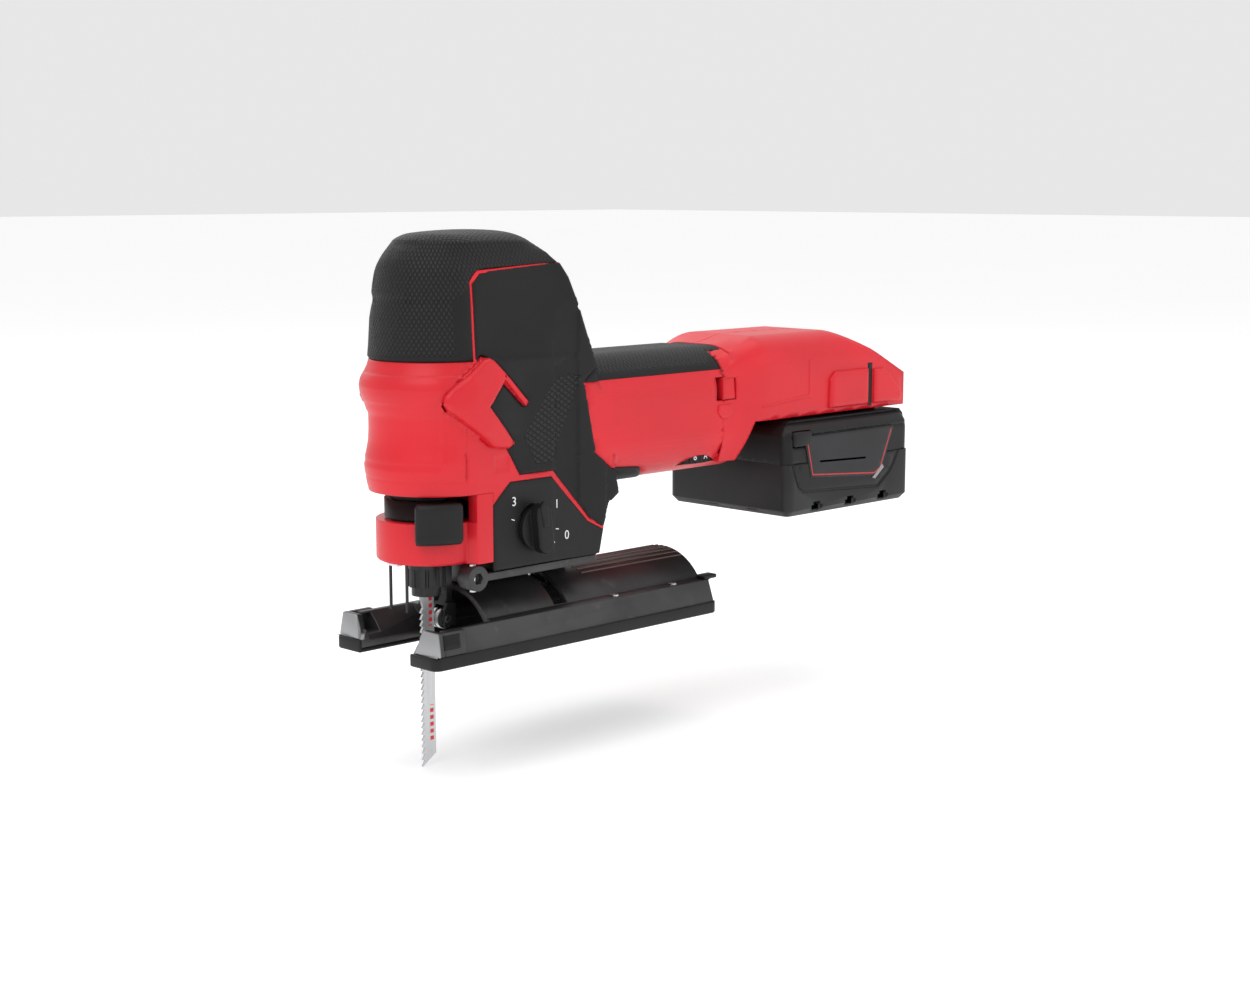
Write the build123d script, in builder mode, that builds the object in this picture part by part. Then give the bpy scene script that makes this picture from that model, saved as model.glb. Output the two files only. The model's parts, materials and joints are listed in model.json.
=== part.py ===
"""Cordless barrel-grip jigsaw, in millimetres.

The saw cuts towards -X, so the barrel and its battery pack lie towards +X.
+Z is up. The origin is where the blade's centre line meets the underside of
the sole, which is also on the axis that the shoe tilts about.
"""
import math
import os

from build123d import *

# ------------------------------------------------------------ driving sizes
# Body
body_half_width = 28.5          # of the tower, and of its rounded nose
nose_centre_x = 6.0             # the nose is an arc about this line
head_top_z = 179.0
head_rear_x = 59.0
tower_rear_x = 79.0
nose_bottom_z = 71.0
grip_bottom_z = 127.0           # where the rubber of the head ends
body_bottom_z = 37.0
wall = 4.0                      # casing and overmould together
skin = 2.0                      # the overmould alone
barrel_half_width = 29.0
barrel_bottom_z = 66.0
barrel_top_z = 124.0
barrel_front_x = 50.0
barrel_rear_x = 172.0
rear_half_width = 32.0
rear_bottom_z = 88.0
rear_top_z = 128.0
rear_end_x = 292.0

# Cutting drive
stroke = 25.0
gear_module = 0.8
gear_teeth = 48
pinion_teeth = 8
gear_front_x = 10.0
gear_width = 8.0
crank_pin_radius = 3.5
slider_mismatch = 2.7           # how far the pin leaves a uniform stroke
rod_radius = 4.5
running_fit = 0.04              # radial, on shafts and rods
clearance = 0.3                 # between pieces that move past each other

# Blade
blade_width = 7.4
blade_thickness = 1.1
blade_tooth_length = 75.0
blade_tip_z = -51.0
blade_teeth = 25
clamp_radius = 8.0
clamp_bottom_z = 25.0
clamp_top_z = 41.0

# Shoe
shoe_front_x = -23.6
shoe_rear_x = 149.2
shoe_half_width = 34.4
prong_gap = 17.6                # half the gap between the prongs
cover_floor = 1.8
cover_rim_z = 5.5
rail_top_z = 15.5
hump_radius = 28.0
hump_wall = 2.8
hump_front_x = 14.0
bevel_limit = 45.0              # degrees each way

# Battery pack
pack_front_x = 192.2
pack_rear_x = 288.0
pack_half_width = 40.0
pack_bottom_z = 40.4
tray_top_z = 66.0
pack_top_z = 86.5
cell_radius = 9.15
cell_length = 65.0

# ------------------------------------------------------------ worked-out sizes
gear_radius = gear_module * gear_teeth / 2
pinion_radius = gear_module * pinion_teeth / 2
motor_z = (barrel_bottom_z + barrel_top_z) / 2
gear_z = motor_z + gear_radius + pinion_radius
crank_radius = stroke / 2
yoke_z = gear_z - crank_radius
gear_rear_x = gear_front_x + gear_width

finished = []


def keep(builder, name):
    """Label a finished piece and put it on the list that is written."""
    builder.part.label = name
    finished.append(builder.part)


# ------------------------------------------------------------ body envelope
def tower_solid(inset):
    """The upright part of the body, all its faces moved in by inset."""
    half = body_half_width - inset
    rear = tower_rear_x - inset
    top = head_top_z - inset
    front = nose_centre_x - half
    with BuildPart() as solid:
        with BuildSketch(Plane.XY.offset(body_bottom_z + inset)):
            with Locations((nose_centre_x, 0)):
                Circle(half)
            with Locations(((nose_centre_x + rear + 20) / 2, 0)):
                Rectangle(rear + 20 - nose_centre_x, 2 * half)
        extrude(amount=top - body_bottom_z)
        with BuildSketch(Plane.XZ) as side:
            with BuildLine():
                Polyline(
                    (front - 4, body_bottom_z + inset), (front - 4, 90),
                    (front + 5, top), (head_rear_x - 13, top),
                    (head_rear_x - inset, 160), (73 - inset, barrel_top_z),
                    (rear + 10, 64), (rear + 4, 60), (rear, 50),
                    (rear - 3, body_bottom_z + inset), close=True,
                )
            make_face()
            top_corners = side.vertices().group_by(Axis.Y)[-1]
            fillet(top_corners, 15 - inset)
        extrude(amount=2 * body_half_width, both=True, mode=Mode.INTERSECT)
        with BuildSketch(Plane.YZ.offset(front - 1)) as front_view:
            with BuildLine():
                Polyline(
                    (-half - 4, body_bottom_z - 1), (-half - 4, 110), (-half + 3.5, top),
                    (half - 3.5, top), (half + 4, 110), (half + 4, body_bottom_z - 1), close=True,
                )
            make_face()
            fillet(front_view.vertices().group_by(Axis.Y)[-1], 15 - inset)
        extrude(amount=2 * tower_rear_x, mode=Mode.INTERSECT)
        # The nose ends above the collar; only the foot behind it goes lower.
        with Locations((nose_centre_x - body_half_width, 0, body_bottom_z)):
            Box(
                body_half_width + 8 + inset, 80, 2 * (nose_bottom_z + inset - body_bottom_z),
                align=(Align.MIN, Align.CENTER, Align.CENTER), mode=Mode.SUBTRACT,
            )
    return solid.part


def barrel_solid(inset):
    """The barrel that holds the motor."""
    height = barrel_top_z - barrel_bottom_z
    with BuildPart() as solid:
        with BuildSketch(Plane.YZ.offset(barrel_front_x)):
            with Locations((0, (barrel_top_z + barrel_bottom_z) / 2)):
                RectangleRounded(2 * (barrel_half_width - inset), height - 2 * inset, 20 - inset)
        extrude(amount=barrel_rear_x - barrel_front_x)
    return solid.part


def rear_solid(inset):
    """The housing behind the barrel, over the battery pack."""
    with BuildPart() as solid:
        with BuildSketch(Plane.XZ) as side:
            with BuildLine():
                Polyline(
                    (158, barrel_bottom_z + 4 + inset), (158, barrel_top_z - inset),
                    (187, rear_top_z - inset), (241, rear_top_z - inset),
                    (265 - inset / 2, 118 - inset), (rear_end_x - inset, 104.5 - inset / 2),
                    (rear_end_x - inset, rear_bottom_z + inset),
                    (178 - inset, rear_bottom_z + inset), (168 - inset, barrel_bottom_z + 4 + inset),
                    close=True,
                )
            make_face()
        extrude(amount=2 * rear_half_width, both=True)
        with BuildSketch(Plane.YZ.offset(barrel_rear_x - 20)):
            with Locations((0, rear_top_z - inset)):
                RectangleRounded(2 * (rear_half_width - inset), 140, 14 - inset,
                                 align=(Align.CENTER, Align.MAX))
        extrude(amount=rear_end_x - barrel_rear_x + 40, mode=Mode.INTERSECT)
    return solid.part


def envelope(inset):
    """The whole body's outer shape, all its faces moved in by inset."""
    with BuildPart() as solid:
        add(tower_solid(inset))
        add(barrel_solid(inset))
        add(rear_solid(inset))
    return solid.part


def side_prism(points, y_from, y_to):
    """A prism across the body, from its outline seen from the side."""
    with BuildPart() as prism:
        with BuildSketch(Plane.XZ.offset(-y_to)):
            with BuildLine():
                Polyline(*points, close=True)
            make_face()
        extrude(amount=y_to - y_from)
    return prism.part


outer = envelope(0)
under_skin = envelope(skin)
cavity = envelope(wall)
raised = envelope(-1.5)

# Outlines on the side of the body, as (x, z).
head_region = [
    (-40, grip_bottom_z), (4, grip_bottom_z), (4, 160), (9, 164.5),
    (90, 169), (90, 200), (-40, 200),
]
side_region = [
    (5.2, grip_bottom_z), (5.2, 159), (10, 163.2), (84, 168), (84, 130), (66.6, 114),
    (73.2, 82.8), (84.4, 74.6), (106, 72.9), (125, 60), (95, 44), (84.3, 46.5),
    (70, 53.6), (48.3, 77), (29, 77), (21.2, 89.4), (8, 108.5),
]
strip_region = [(66.6, 114), (160, 114), (168, 121), (168, 140), (84, 140), (84, 130)]
base_region = [
    (10, 30), (10, 62), (23.3, 74.6), (47.5, 74.6), (69, 52.5), (83, 45.5), (95, 43), (95, 30),
]
lug_outline = [
    (7.8, 128.8), (-12, 113.9), (-9, 107), (11.5, 91.4), (21.2, 89.4), (24.9, 91.7),
    (8.5, 108.3), (17.1, 117.6), (31.5, 106.6), (33, 109), (12, 127.5),
]
screw_points = [(50, 152), (64, 128), (44, 81), (130, 108), (181, 108), (215, 117), (270, 109)]
screw_shank = 1.5
screw_head = 3.1
screw_seat_y = 21.0
boss_radius = 5.5

# Battery rail: a T-shaped channel under the rear housing.
rail_front_x = 197.0
neck_half = 19.5
tongue_half = 24.0
lip_top_z = 92.5
channel_top_z = 99.5
channel_roof = 2.5

# Speed wheel and power slider
wheel_x = 146.0
wheel_radius = 24.8
wheel_z = (70.5, 76.5)
slot_x = (153.0, 166.2)
slot_z = (99.5, 110.5)
button_length = 8.7

# Orbit knob
knob_x = 37.5
knob_z = 53.4
knob_shaft = 3.0

# Blade release
neck_radius = 14.5
neck_bore = 12.5
collar_top_z = 59.0
collar_bore = 14.5

# ------------------------------------------------------------ casing
with BuildPart() as head_grip:
    add(outer)
    add(under_skin, mode=Mode.SUBTRACT)
    add(side_prism(head_region, -50, 50), mode=Mode.INTERSECT)
keep(head_grip, "head_grip")

with BuildPart() as barrel_grip:
    add(outer)
    add(under_skin, mode=Mode.SUBTRACT)
    add(side_prism(strip_region, -50, 50), mode=Mode.INTERSECT)
keep(barrel_grip, "barrel_grip")

with BuildPart() as screw_tunnels:
    for x, z in screw_points:
        with Locations(Plane((x, screw_seat_y, z), x_dir=(1, 0, 0), z_dir=(0, 1, 0))):
            Cylinder(screw_head + clearance, 30, align=(Align.CENTER, Align.CENTER, Align.MIN))
        with Locations(Plane((x, screw_seat_y, z), x_dir=(1, 0, 0), z_dir=(0, -1, 0))):
            Cylinder(screw_shank + 0.05, 36, align=(Align.CENTER, Align.CENTER, Align.MIN))

with BuildPart() as side_lugs:
    add(raised)
    add(under_skin, mode=Mode.SUBTRACT)
    add(side_prism(lug_outline, -50, 50), mode=Mode.INTERSECT)
    with Locations((0, 0, 110)):
        Box(80, 36, 60, mode=Mode.SUBTRACT)

for side_name, sign in (("left", -1), ("right", 1)):
    with BuildPart() as side_grip:
        add(outer)
        add(under_skin, mode=Mode.SUBTRACT)
        low, high = sorted((0.5 * sign, 50 * sign))
        add(side_prism(side_region, low, high), mode=Mode.INTERSECT)
        add(screw_tunnels.part, mode=Mode.SUBTRACT)
        add(side_lugs.part, mode=Mode.SUBTRACT)
    keep(side_grip, f"side_grip_{side_name}")

with BuildPart() as base_case:
    add(outer)
    add(cavity, mode=Mode.SUBTRACT)
    add(side_prism(base_region, -50, 50), mode=Mode.INTERSECT)
    with Locations(Plane((knob_x, 0, knob_z), z_dir=(0, -1, 0))):
        Cylinder(knob_shaft + running_fit, 40, align=(Align.CENTER, Align.CENTER, Align.MIN),
                 mode=Mode.SUBTRACT)
    with Locations((0, 0, body_bottom_z)):
        Cylinder(neck_radius, 100, mode=Mode.SUBTRACT)
    # The clamp bolt of the shoe passes through the floor.
    with Locations((58, 0, body_bottom_z)):
        Cylinder(3.05, 12, mode=Mode.SUBTRACT)
keep(base_case, "base_case")

# Screw bosses reach from each wall to the joint between the halves.
with BuildPart() as boss_rods:
    with Locations(*[Location((x, 0, z), (90, 0, 0)) for x, z in screw_points]):
        Cylinder(boss_radius, 80)
with BuildPart() as bosses:
    add(outer)
    add(boss_rods.part, mode=Mode.INTERSECT)

with BuildPart() as housing:
    add(outer)
    add(cavity, mode=Mode.SUBTRACT)
    # Floor above the battery channel, then the channel itself.
    with Locations((rail_front_x - 5, 0, rear_bottom_z)):
        Box(rear_end_x - rail_front_x + 5, 2 * (rear_half_width - wall),
            channel_top_z + channel_roof - rear_bottom_z,
            align=(Align.MIN, Align.CENTER, Align.MIN))
    with Locations((rail_front_x, 0, lip_top_z)):
        Box(200, 2 * (tongue_half + clearance), channel_top_z - lip_top_z,
            align=(Align.MIN, Align.CENTER, Align.MIN), mode=Mode.SUBTRACT)
    with Locations((rail_front_x, 0, rear_bottom_z - 1)):
        Box(200, 2 * (neck_half + clearance), lip_top_z - rear_bottom_z + 1,
            align=(Align.MIN, Align.CENTER, Align.MIN), mode=Mode.SUBTRACT)
    add(side_prism(base_region, -50, 50), mode=Mode.SUBTRACT)
    add(bosses.part)
    add(screw_tunnels.part, mode=Mode.SUBTRACT)
    add(head_grip.part, mode=Mode.SUBTRACT)
    add(barrel_grip.part, mode=Mode.SUBTRACT)
    for grip in finished[2:4]:
        add(grip, mode=Mode.SUBTRACT)
    add(side_lugs.part, mode=Mode.SUBTRACT)
    # Opening for the plunger, windows for the wheel, slot for the slider.
    with Locations((0, 0, nose_bottom_z)):
        Cylinder(neck_radius, 30, mode=Mode.SUBTRACT)
    with Locations((wheel_x, 0, wheel_z[0] - clearance)):
        Cylinder(wheel_radius + clearance, wheel_z[1] - wheel_z[0] + 2 * clearance,
                 align=(Align.CENTER, Align.CENTER, Align.MIN), mode=Mode.SUBTRACT)
    with Locations((slot_x[0], -18, slot_z[0])):
        Box(slot_x[1] - slot_x[0], 30, slot_z[1] - slot_z[0],
            align=(Align.MIN, Align.MAX, Align.MIN), mode=Mode.SUBTRACT)
keep(side_lugs, "side_lugs")

with BuildPart() as nose_cover:
    add(housing.part)
    with Locations((-40, 0, nose_bottom_z)):
        Box(40, 90, grip_bottom_z - nose_bottom_z,
            align=(Align.MIN, Align.CENTER, Align.MIN), mode=Mode.INTERSECT)
    with BuildSketch(Plane.XZ) as bands:
        with BuildLine():
            Polyline(
                (nose_centre_x - 27, 108), (nose_centre_x - 30.6, 111),
                (nose_centre_x - 31.2, 116), (nose_centre_x - 29, 121.5),
                (nose_centre_x - 27, 122), close=True,
            )
        make_face()
        with BuildLine():
            Polyline(
                (nose_centre_x - 27, 76), (nose_centre_x - 30, 79),
                (nose_centre_x - 30, 88), (nose_centre_x - 27, 92), close=True,
            )
        make_face()
    revolve(axis=Axis((nose_centre_x, 0, 0), (0, 0, 1)), revolution_arc=76, clean=False)
    revolve(bands.sketch, axis=Axis((nose_centre_x, 0, 0), (0, 0, 1)), revolution_arc=-76)
    add(side_lugs.part, mode=Mode.SUBTRACT)
keep(nose_cover, "nose_cover")

for side_name, plane in (("left", Plane.XZ), ("right", Plane.XZ.reverse())):
    with BuildPart() as housing_half:
        add(housing.part)
        split(bisect_by=plane, keep=Keep.TOP)
        with Locations((-40, 0, nose_bottom_z)):
            Box(40, 90, grip_bottom_z - nose_bottom_z,
                align=(Align.MIN, Align.CENTER, Align.MIN), mode=Mode.SUBTRACT)
    keep(housing_half, f"housing_{side_name}")


def shaft_along_x(x_from, x_to, radius, z, bore=0.0):
    """A round piece, or a ring, along the barrel."""
    with BuildPart() as shaft:
        with BuildSketch(Plane.YZ.offset(x_from)):
            with Locations((0, z)):
                Circle(radius)
                if bore:
                    Circle(bore, mode=Mode.SUBTRACT)
        extrude(amount=x_to - x_from)
    return shaft.part


def toothed_disc(teeth, tip_radius, root_radius, width, x_from, z, bore, turn):
    """A spur gear on an axis along the barrel; turn is its first tooth's angle."""
    pitch = 2 * math.pi / teeth
    with BuildPart() as gear:
        with BuildSketch(Plane.YZ.offset(x_from)):
            with BuildLine():
                points = []
                for tooth in range(teeth):
                    middle = turn + tooth * pitch
                    for part, radius in ((-0.30, root_radius), (-0.12, tip_radius),
                                         (0.12, tip_radius), (0.30, root_radius)):
                        angle = middle + part * pitch
                        points.append((radius * math.cos(angle), z + radius * math.sin(angle)))
                Polyline(*points, close=True)
            make_face()
            if bore:
                with Locations((0, z)):
                    Circle(bore, mode=Mode.SUBTRACT)
        extrude(amount=width)
    return gear.part


# ------------------------------------------------------------ drive
bush_bottom_z = nose_bottom_z + wall
bush_top_z = 88.0
upper_bush_z = (141.0, 147.0)
case_plate_x = (22.0, 32.0)
bearing_x = (24.0, 31.0)
crank_shaft = 4.0
crank_bearing = 9.5
rotor_shaft_radius = 2.5
rotor_bearing = 8.0
bush_wall = 2.5
stator_x = (62.0, 98.0)
stator_radius = min(barrel_half_width, (barrel_top_z - barrel_bottom_z) / 2) - wall
rotor_radius = 13.8
air_gap = 0.5
fan_x = (102.0, 109.0)
end_plate_x = (112.0, 119.0)

with BuildPart() as gear_case:
    with Locations((case_plate_x[0], 0, bush_bottom_z)):
        Box(case_plate_x[1] - case_plate_x[0], 40, upper_bush_z[1] - bush_bottom_z,
            align=(Align.MIN, Align.CENTER, Align.MIN))
    with Locations((-8.5, 0, bush_bottom_z)):
        Box(case_plate_x[0] + 8.5, 24, bush_top_z - bush_bottom_z,
            align=(Align.MIN, Align.CENTER, Align.MIN))
    with Locations((-8.5, 0, upper_bush_z[0])):
        Box(case_plate_x[0] + 8.5, 18, upper_bush_z[1] - upper_bush_z[0],
            align=(Align.MIN, Align.CENTER, Align.MIN))
    edges_to_round = gear_case.edges().filter_by(Axis.Z).group_by(Axis.X)[0]
    fillet(edges_to_round, 5)
    Cylinder(rod_radius + bush_wall, 400, mode=Mode.SUBTRACT)
    add(shaft_along_x(0, 90, crank_shaft + 1, gear_z), mode=Mode.SUBTRACT)
    add(shaft_along_x(bearing_x[0], bearing_x[1], crank_bearing, gear_z), mode=Mode.SUBTRACT)
    add(shaft_along_x(bearing_x[0], bearing_x[1], rotor_bearing, motor_z), mode=Mode.SUBTRACT)
    add(shaft_along_x(9, 90, pinion_radius + 2, motor_z), mode=Mode.SUBTRACT)
keep(gear_case, "gear_case")

with BuildPart() as guide_bushes:
    for low, high in ((bush_bottom_z, bush_top_z), upper_bush_z):
        with BuildSketch(Plane.XY.offset(low)):
            Circle(rod_radius + bush_wall)
            Circle(rod_radius + running_fit, mode=Mode.SUBTRACT)
        extrude(amount=high - low)
keep(guide_bushes, "guide_bushes")

with BuildPart() as ball_bearings:
    bearings = (
        (bearing_x[0], bearing_x[1], crank_bearing, gear_z, crank_shaft),
        (bearing_x[0], bearing_x[1], rotor_bearing, motor_z, rotor_shaft_radius),
        (end_plate_x[0], end_plate_x[1], rotor_bearing, motor_z, rotor_shaft_radius),
    )
    for start, end, radius, z, bore in bearings:
        add(shaft_along_x(start, end, radius, z, bore + running_fit))
keep(ball_bearings, "ball_bearings")

with BuildPart() as motor_end_plate:
    add(shaft_along_x(end_plate_x[0], end_plate_x[1], stator_radius, motor_z, rotor_bearing))
    with BuildSketch(Plane.YZ.offset(end_plate_x[0])):
        with Locations((0, motor_z)):
            with PolarLocations(16.5, 6):
                Circle(4)
    extrude(amount=end_plate_x[1] - end_plate_x[0], mode=Mode.SUBTRACT)
keep(motor_end_plate, "motor_end_plate")

slot_inner = rotor_radius + air_gap + 1.2
slot_outer = stator_radius - 3.0
with BuildPart() as stator:
    with BuildSketch(Plane.YZ.offset(stator_x[0])):
        with Locations((0, motor_z)):
            Circle(stator_radius)
            Circle(rotor_radius + air_gap, mode=Mode.SUBTRACT)
            with PolarLocations((slot_inner + slot_outer) / 2, 6):
                Rectangle(slot_outer - slot_inner, 8.5, mode=Mode.SUBTRACT)
    extrude(amount=stator_x[1] - stator_x[0])
keep(stator, "stator")

with BuildPart() as stator_coils:
    with BuildSketch(Plane.YZ.offset(stator_x[0] - 3)):
        with Locations((0, motor_z)):
            with PolarLocations((slot_inner + slot_outer) / 2, 6):
                Rectangle(slot_outer - slot_inner, 8.5)
    extrude(amount=stator_x[1] - stator_x[0] + 6)
keep(stator_coils, "stator_coils")

with BuildPart() as rotor_shaft:
    add(shaft_along_x(gear_rear_x + 1, end_plate_x[1] + 2, rotor_shaft_radius, motor_z))
keep(rotor_shaft, "rotor_shaft")

with BuildPart() as rotor_core:
    add(shaft_along_x(stator_x[0], stator_x[1], rotor_radius, motor_z, rotor_shaft_radius))
keep(rotor_core, "rotor_core")

with BuildPart() as motor_fan:
    add(shaft_along_x(fan_x[0], fan_x[1], 6, motor_z, rotor_shaft_radius))
    add(shaft_along_x(fan_x[0], fan_x[0] + 1.2, 22.5, motor_z, rotor_shaft_radius))
    with BuildSketch(Plane.YZ.offset(fan_x[0])):
        with Locations((0, motor_z)):
            with PolarLocations(14, 11):
                Rectangle(16.5, 1.2, rotation=25)
    extrude(amount=fan_x[1] - fan_x[0])
keep(motor_fan, "motor_fan")

with BuildPart() as pinion:
    add(toothed_disc(pinion_teeth, pinion_radius + gear_module * 0.9, pinion_radius - gear_module,
                     gear_width + 1, gear_front_x, motor_z, 0,
                     math.pi / 2 + math.pi / pinion_teeth))
keep(pinion, "pinion")

with BuildPart() as crank_gear:
    add(toothed_disc(gear_teeth, gear_radius + gear_module * 0.9, gear_radius - gear_module,
                     gear_width, gear_front_x, gear_z, crank_shaft, -math.pi / 2))
    add(shaft_along_x(gear_front_x, bearing_x[1] + 2, crank_shaft, gear_z))
keep(crank_gear, "crank_gear")

with BuildPart() as crank_pin:
    add(shaft_along_x(-3.5, gear_front_x, crank_pin_radius, yoke_z))
keep(crank_pin, "crank_pin")

with BuildPart() as balance_weight:
    with BuildSketch(Plane.YZ.offset(gear_rear_x)):
        with Locations((0, gear_z)):
            Circle(gear_radius - 2)
            Circle(crank_shaft, mode=Mode.SUBTRACT)
        with Locations((0, gear_z)):
            Rectangle(60, 60, align=(Align.CENTER, Align.MAX), mode=Mode.SUBTRACT)
    extrude(amount=case_plate_x[0] - gear_rear_x - 1)
keep(balance_weight, "balance_weight")

yoke_half_length = crank_radius + crank_pin_radius + 4
slot_half_height = crank_pin_radius + slider_mismatch + clearance
yoke_half_height = slot_half_height + 3
with BuildPart() as plunger:
    with BuildSketch(Plane.XY.offset(clamp_top_z)):
        Circle(rod_radius)
    extrude(amount=upper_bush_z[1] - 1 - clamp_top_z)
    with Locations((0, 0, yoke_z)):
        Box(2 * rod_radius, 2 * yoke_half_length, 2 * yoke_half_height)
        Box(4 * rod_radius, 2 * (yoke_half_length - 3), 2 * slot_half_height, mode=Mode.SUBTRACT)
keep(plunger, "plunger")

# ------------------------------------------------------------ blade and clamp
blade_back_x = blade_width / 2
shoulder_z = blade_tip_z + blade_tooth_length
tang_half = 3.2
tang_top_z = 36.5
clamp_core = 6.4
with BuildPart() as saw_blade:
    with BuildSketch(Plane.XZ) as blade_side:
        with BuildLine():
            pitch = (blade_tooth_length - 4) / blade_teeth
            points = [(-blade_back_x, blade_tip_z), (blade_back_x, blade_tip_z + 5),
                      (blade_back_x, shoulder_z), (tang_half, shoulder_z + 2),
                      (tang_half, tang_top_z), (-tang_half, tang_top_z),
                      (-tang_half, shoulder_z + 2), (-blade_back_x, shoulder_z)]
            for tooth in range(blade_teeth, 0, -1):
                base = blade_tip_z + tooth * pitch
                points.append((-blade_back_x + 1.3, base - 0.2 * pitch))
                points.append((-blade_back_x, base - 0.95 * pitch))
            Polyline(*points, close=True)
        make_face()
    extrude(amount=blade_thickness / 2, both=True)
keep(saw_blade, "saw_blade")

with BuildPart() as blade_clamp:
    with BuildSketch(Plane.XY.offset(clamp_bottom_z)):
        Circle(clamp_core)
    extrude(amount=clamp_top_z - clamp_bottom_z)
    with BuildSketch(Plane.XY.offset(clamp_top_z - 4)):
        Circle(clamp_radius)
    extrude(amount=4)
    with Locations((0, 0, clamp_bottom_z)):
        Box(2 * tang_half + 0.8, blade_thickness + 0.1, 2 * (tang_top_z - clamp_bottom_z),
            mode=Mode.SUBTRACT)
keep(blade_clamp, "blade_clamp")

with BuildPart() as clamp_sleeve:
    with BuildSketch(Plane.XY.offset(clamp_bottom_z + 4)):
        Circle(clamp_radius)
        Circle(clamp_core, mode=Mode.SUBTRACT)
        with PolarLocations(clamp_radius, 10, start_angle=18):
            Circle(0.8, mode=Mode.SUBTRACT)
    extrude(amount=clamp_top_z - 4 - clamp_bottom_z - 4)
keep(clamp_sleeve, "clamp_sleeve")

# ------------------------------------------------------------ collar, release lever, guard
post_inner = 22.5
with BuildPart() as collar:
    with BuildSketch(Plane.XY.offset(clamp_top_z)):
        with Locations((3, 0)):
            Circle(23.5)
        Polygon((3, 23), (5, body_half_width), (14, body_half_width), (14, -body_half_width),
                (5, -body_half_width), (3, -23), align=None)
        with Locations((14, 0)):
            Rectangle(40, 80, align=(Align.MIN, Align.CENTER), mode=Mode.SUBTRACT)
        Circle(collar_bore, mode=Mode.SUBTRACT)
        Rectangle(15, 2 * collar_bore, align=(Align.MIN, Align.CENTER), mode=Mode.SUBTRACT)
    extrude(amount=collar_top_z - clamp_top_z)
    with BuildSketch(Plane.XY.offset(collar_top_z)):
        for sign in (-1, 1):
            Polygon((5, sign * post_inner), (5, sign * body_half_width),
                    (14, sign * body_half_width), (14, sign * post_inner), align=None)
    extrude(amount=nose_bottom_z - collar_top_z)
    chamfer(collar.edges().group_by(Axis.X)[0].group_by(Axis.Z)[0], 1)
keep(collar, "collar")

with BuildPart() as neck_tube:
    with BuildSketch(Plane.XY.offset(clamp_top_z + 10)):
        Circle(neck_radius)
        Circle(neck_bore, mode=Mode.SUBTRACT)
    extrude(amount=nose_bottom_z + 1 - clamp_top_z - 10)
    with Locations((0, 0, clamp_top_z)):
        Box(60, 2 * neck_radius, 2 * (collar_top_z - clamp_top_z),
            align=(Align.MIN, Align.CENTER, Align.CENTER), mode=Mode.SUBTRACT)
keep(neck_tube, "neck_tube")

ring_inner = neck_radius + clearance
ring_outer = 17.4
pad_inner = 24.0
pad_outer = 28.5
pad_angle = 244.0
pad_half_angle = 22.0
ring_z = (60.0, 68.0)
pad_bottom_z = 51.0


def ring_sector(inner, outer_radius, middle, half_angle):
    """A sector of a ring about the blade axis, as a sketch."""
    with BuildSketch() as sector:
        Circle(outer_radius)
        Circle(inner, mode=Mode.SUBTRACT)
        reach = 10 * outer_radius
        corners = [(0, 0)]
        for turn in (-half_angle, half_angle):
            angle = math.radians(middle + turn)
            corners.append((reach * math.cos(angle), reach * math.sin(angle)))
        Polygon(*corners, align=None, mode=Mode.INTERSECT)
    return sector.sketch


with BuildPart() as release_lever:
    with BuildSketch(Plane.XY.offset(ring_z[0])):
        Circle(ring_outer)
        Circle(ring_inner, mode=Mode.SUBTRACT)
        add(ring_sector(ring_inner - 1, ring_outer + 1, 22.5, 82.5), mode=Mode.SUBTRACT)
        add(ring_sector(ring_inner + 0.5, pad_outer - 0.5, pad_angle, pad_half_angle))
    extrude(amount=ring_z[1] - ring_z[0])
    with BuildSketch(Plane.XY.offset(pad_bottom_z)):
        add(ring_sector(pad_inner, pad_outer, pad_angle, pad_half_angle))
    extrude(amount=ring_z[1] - 1 - pad_bottom_z)
keep(release_lever, "release_lever")

guard_x = -15.0
guard_half = 5.45
guard_wire = 0.7
guard_bottom_z = 20.0
with BuildPart() as wire_guard:
    with BuildSketch(Plane.XY.offset(guard_bottom_z)):
        with Locations((guard_x, -guard_half), (guard_x, guard_half)):
            Circle(guard_wire)
    extrude(amount=clamp_top_z - guard_bottom_z)
keep(wire_guard, "wire_guard")

with BuildPart() as led_lens:
    with Locations((nose_centre_x - 24.5, 0, clamp_top_z - 1)):
        Box(2.6, 7, 1, align=(Align.MIN, Align.CENTER, Align.MIN))
keep(led_lens, "led_lens")

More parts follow.
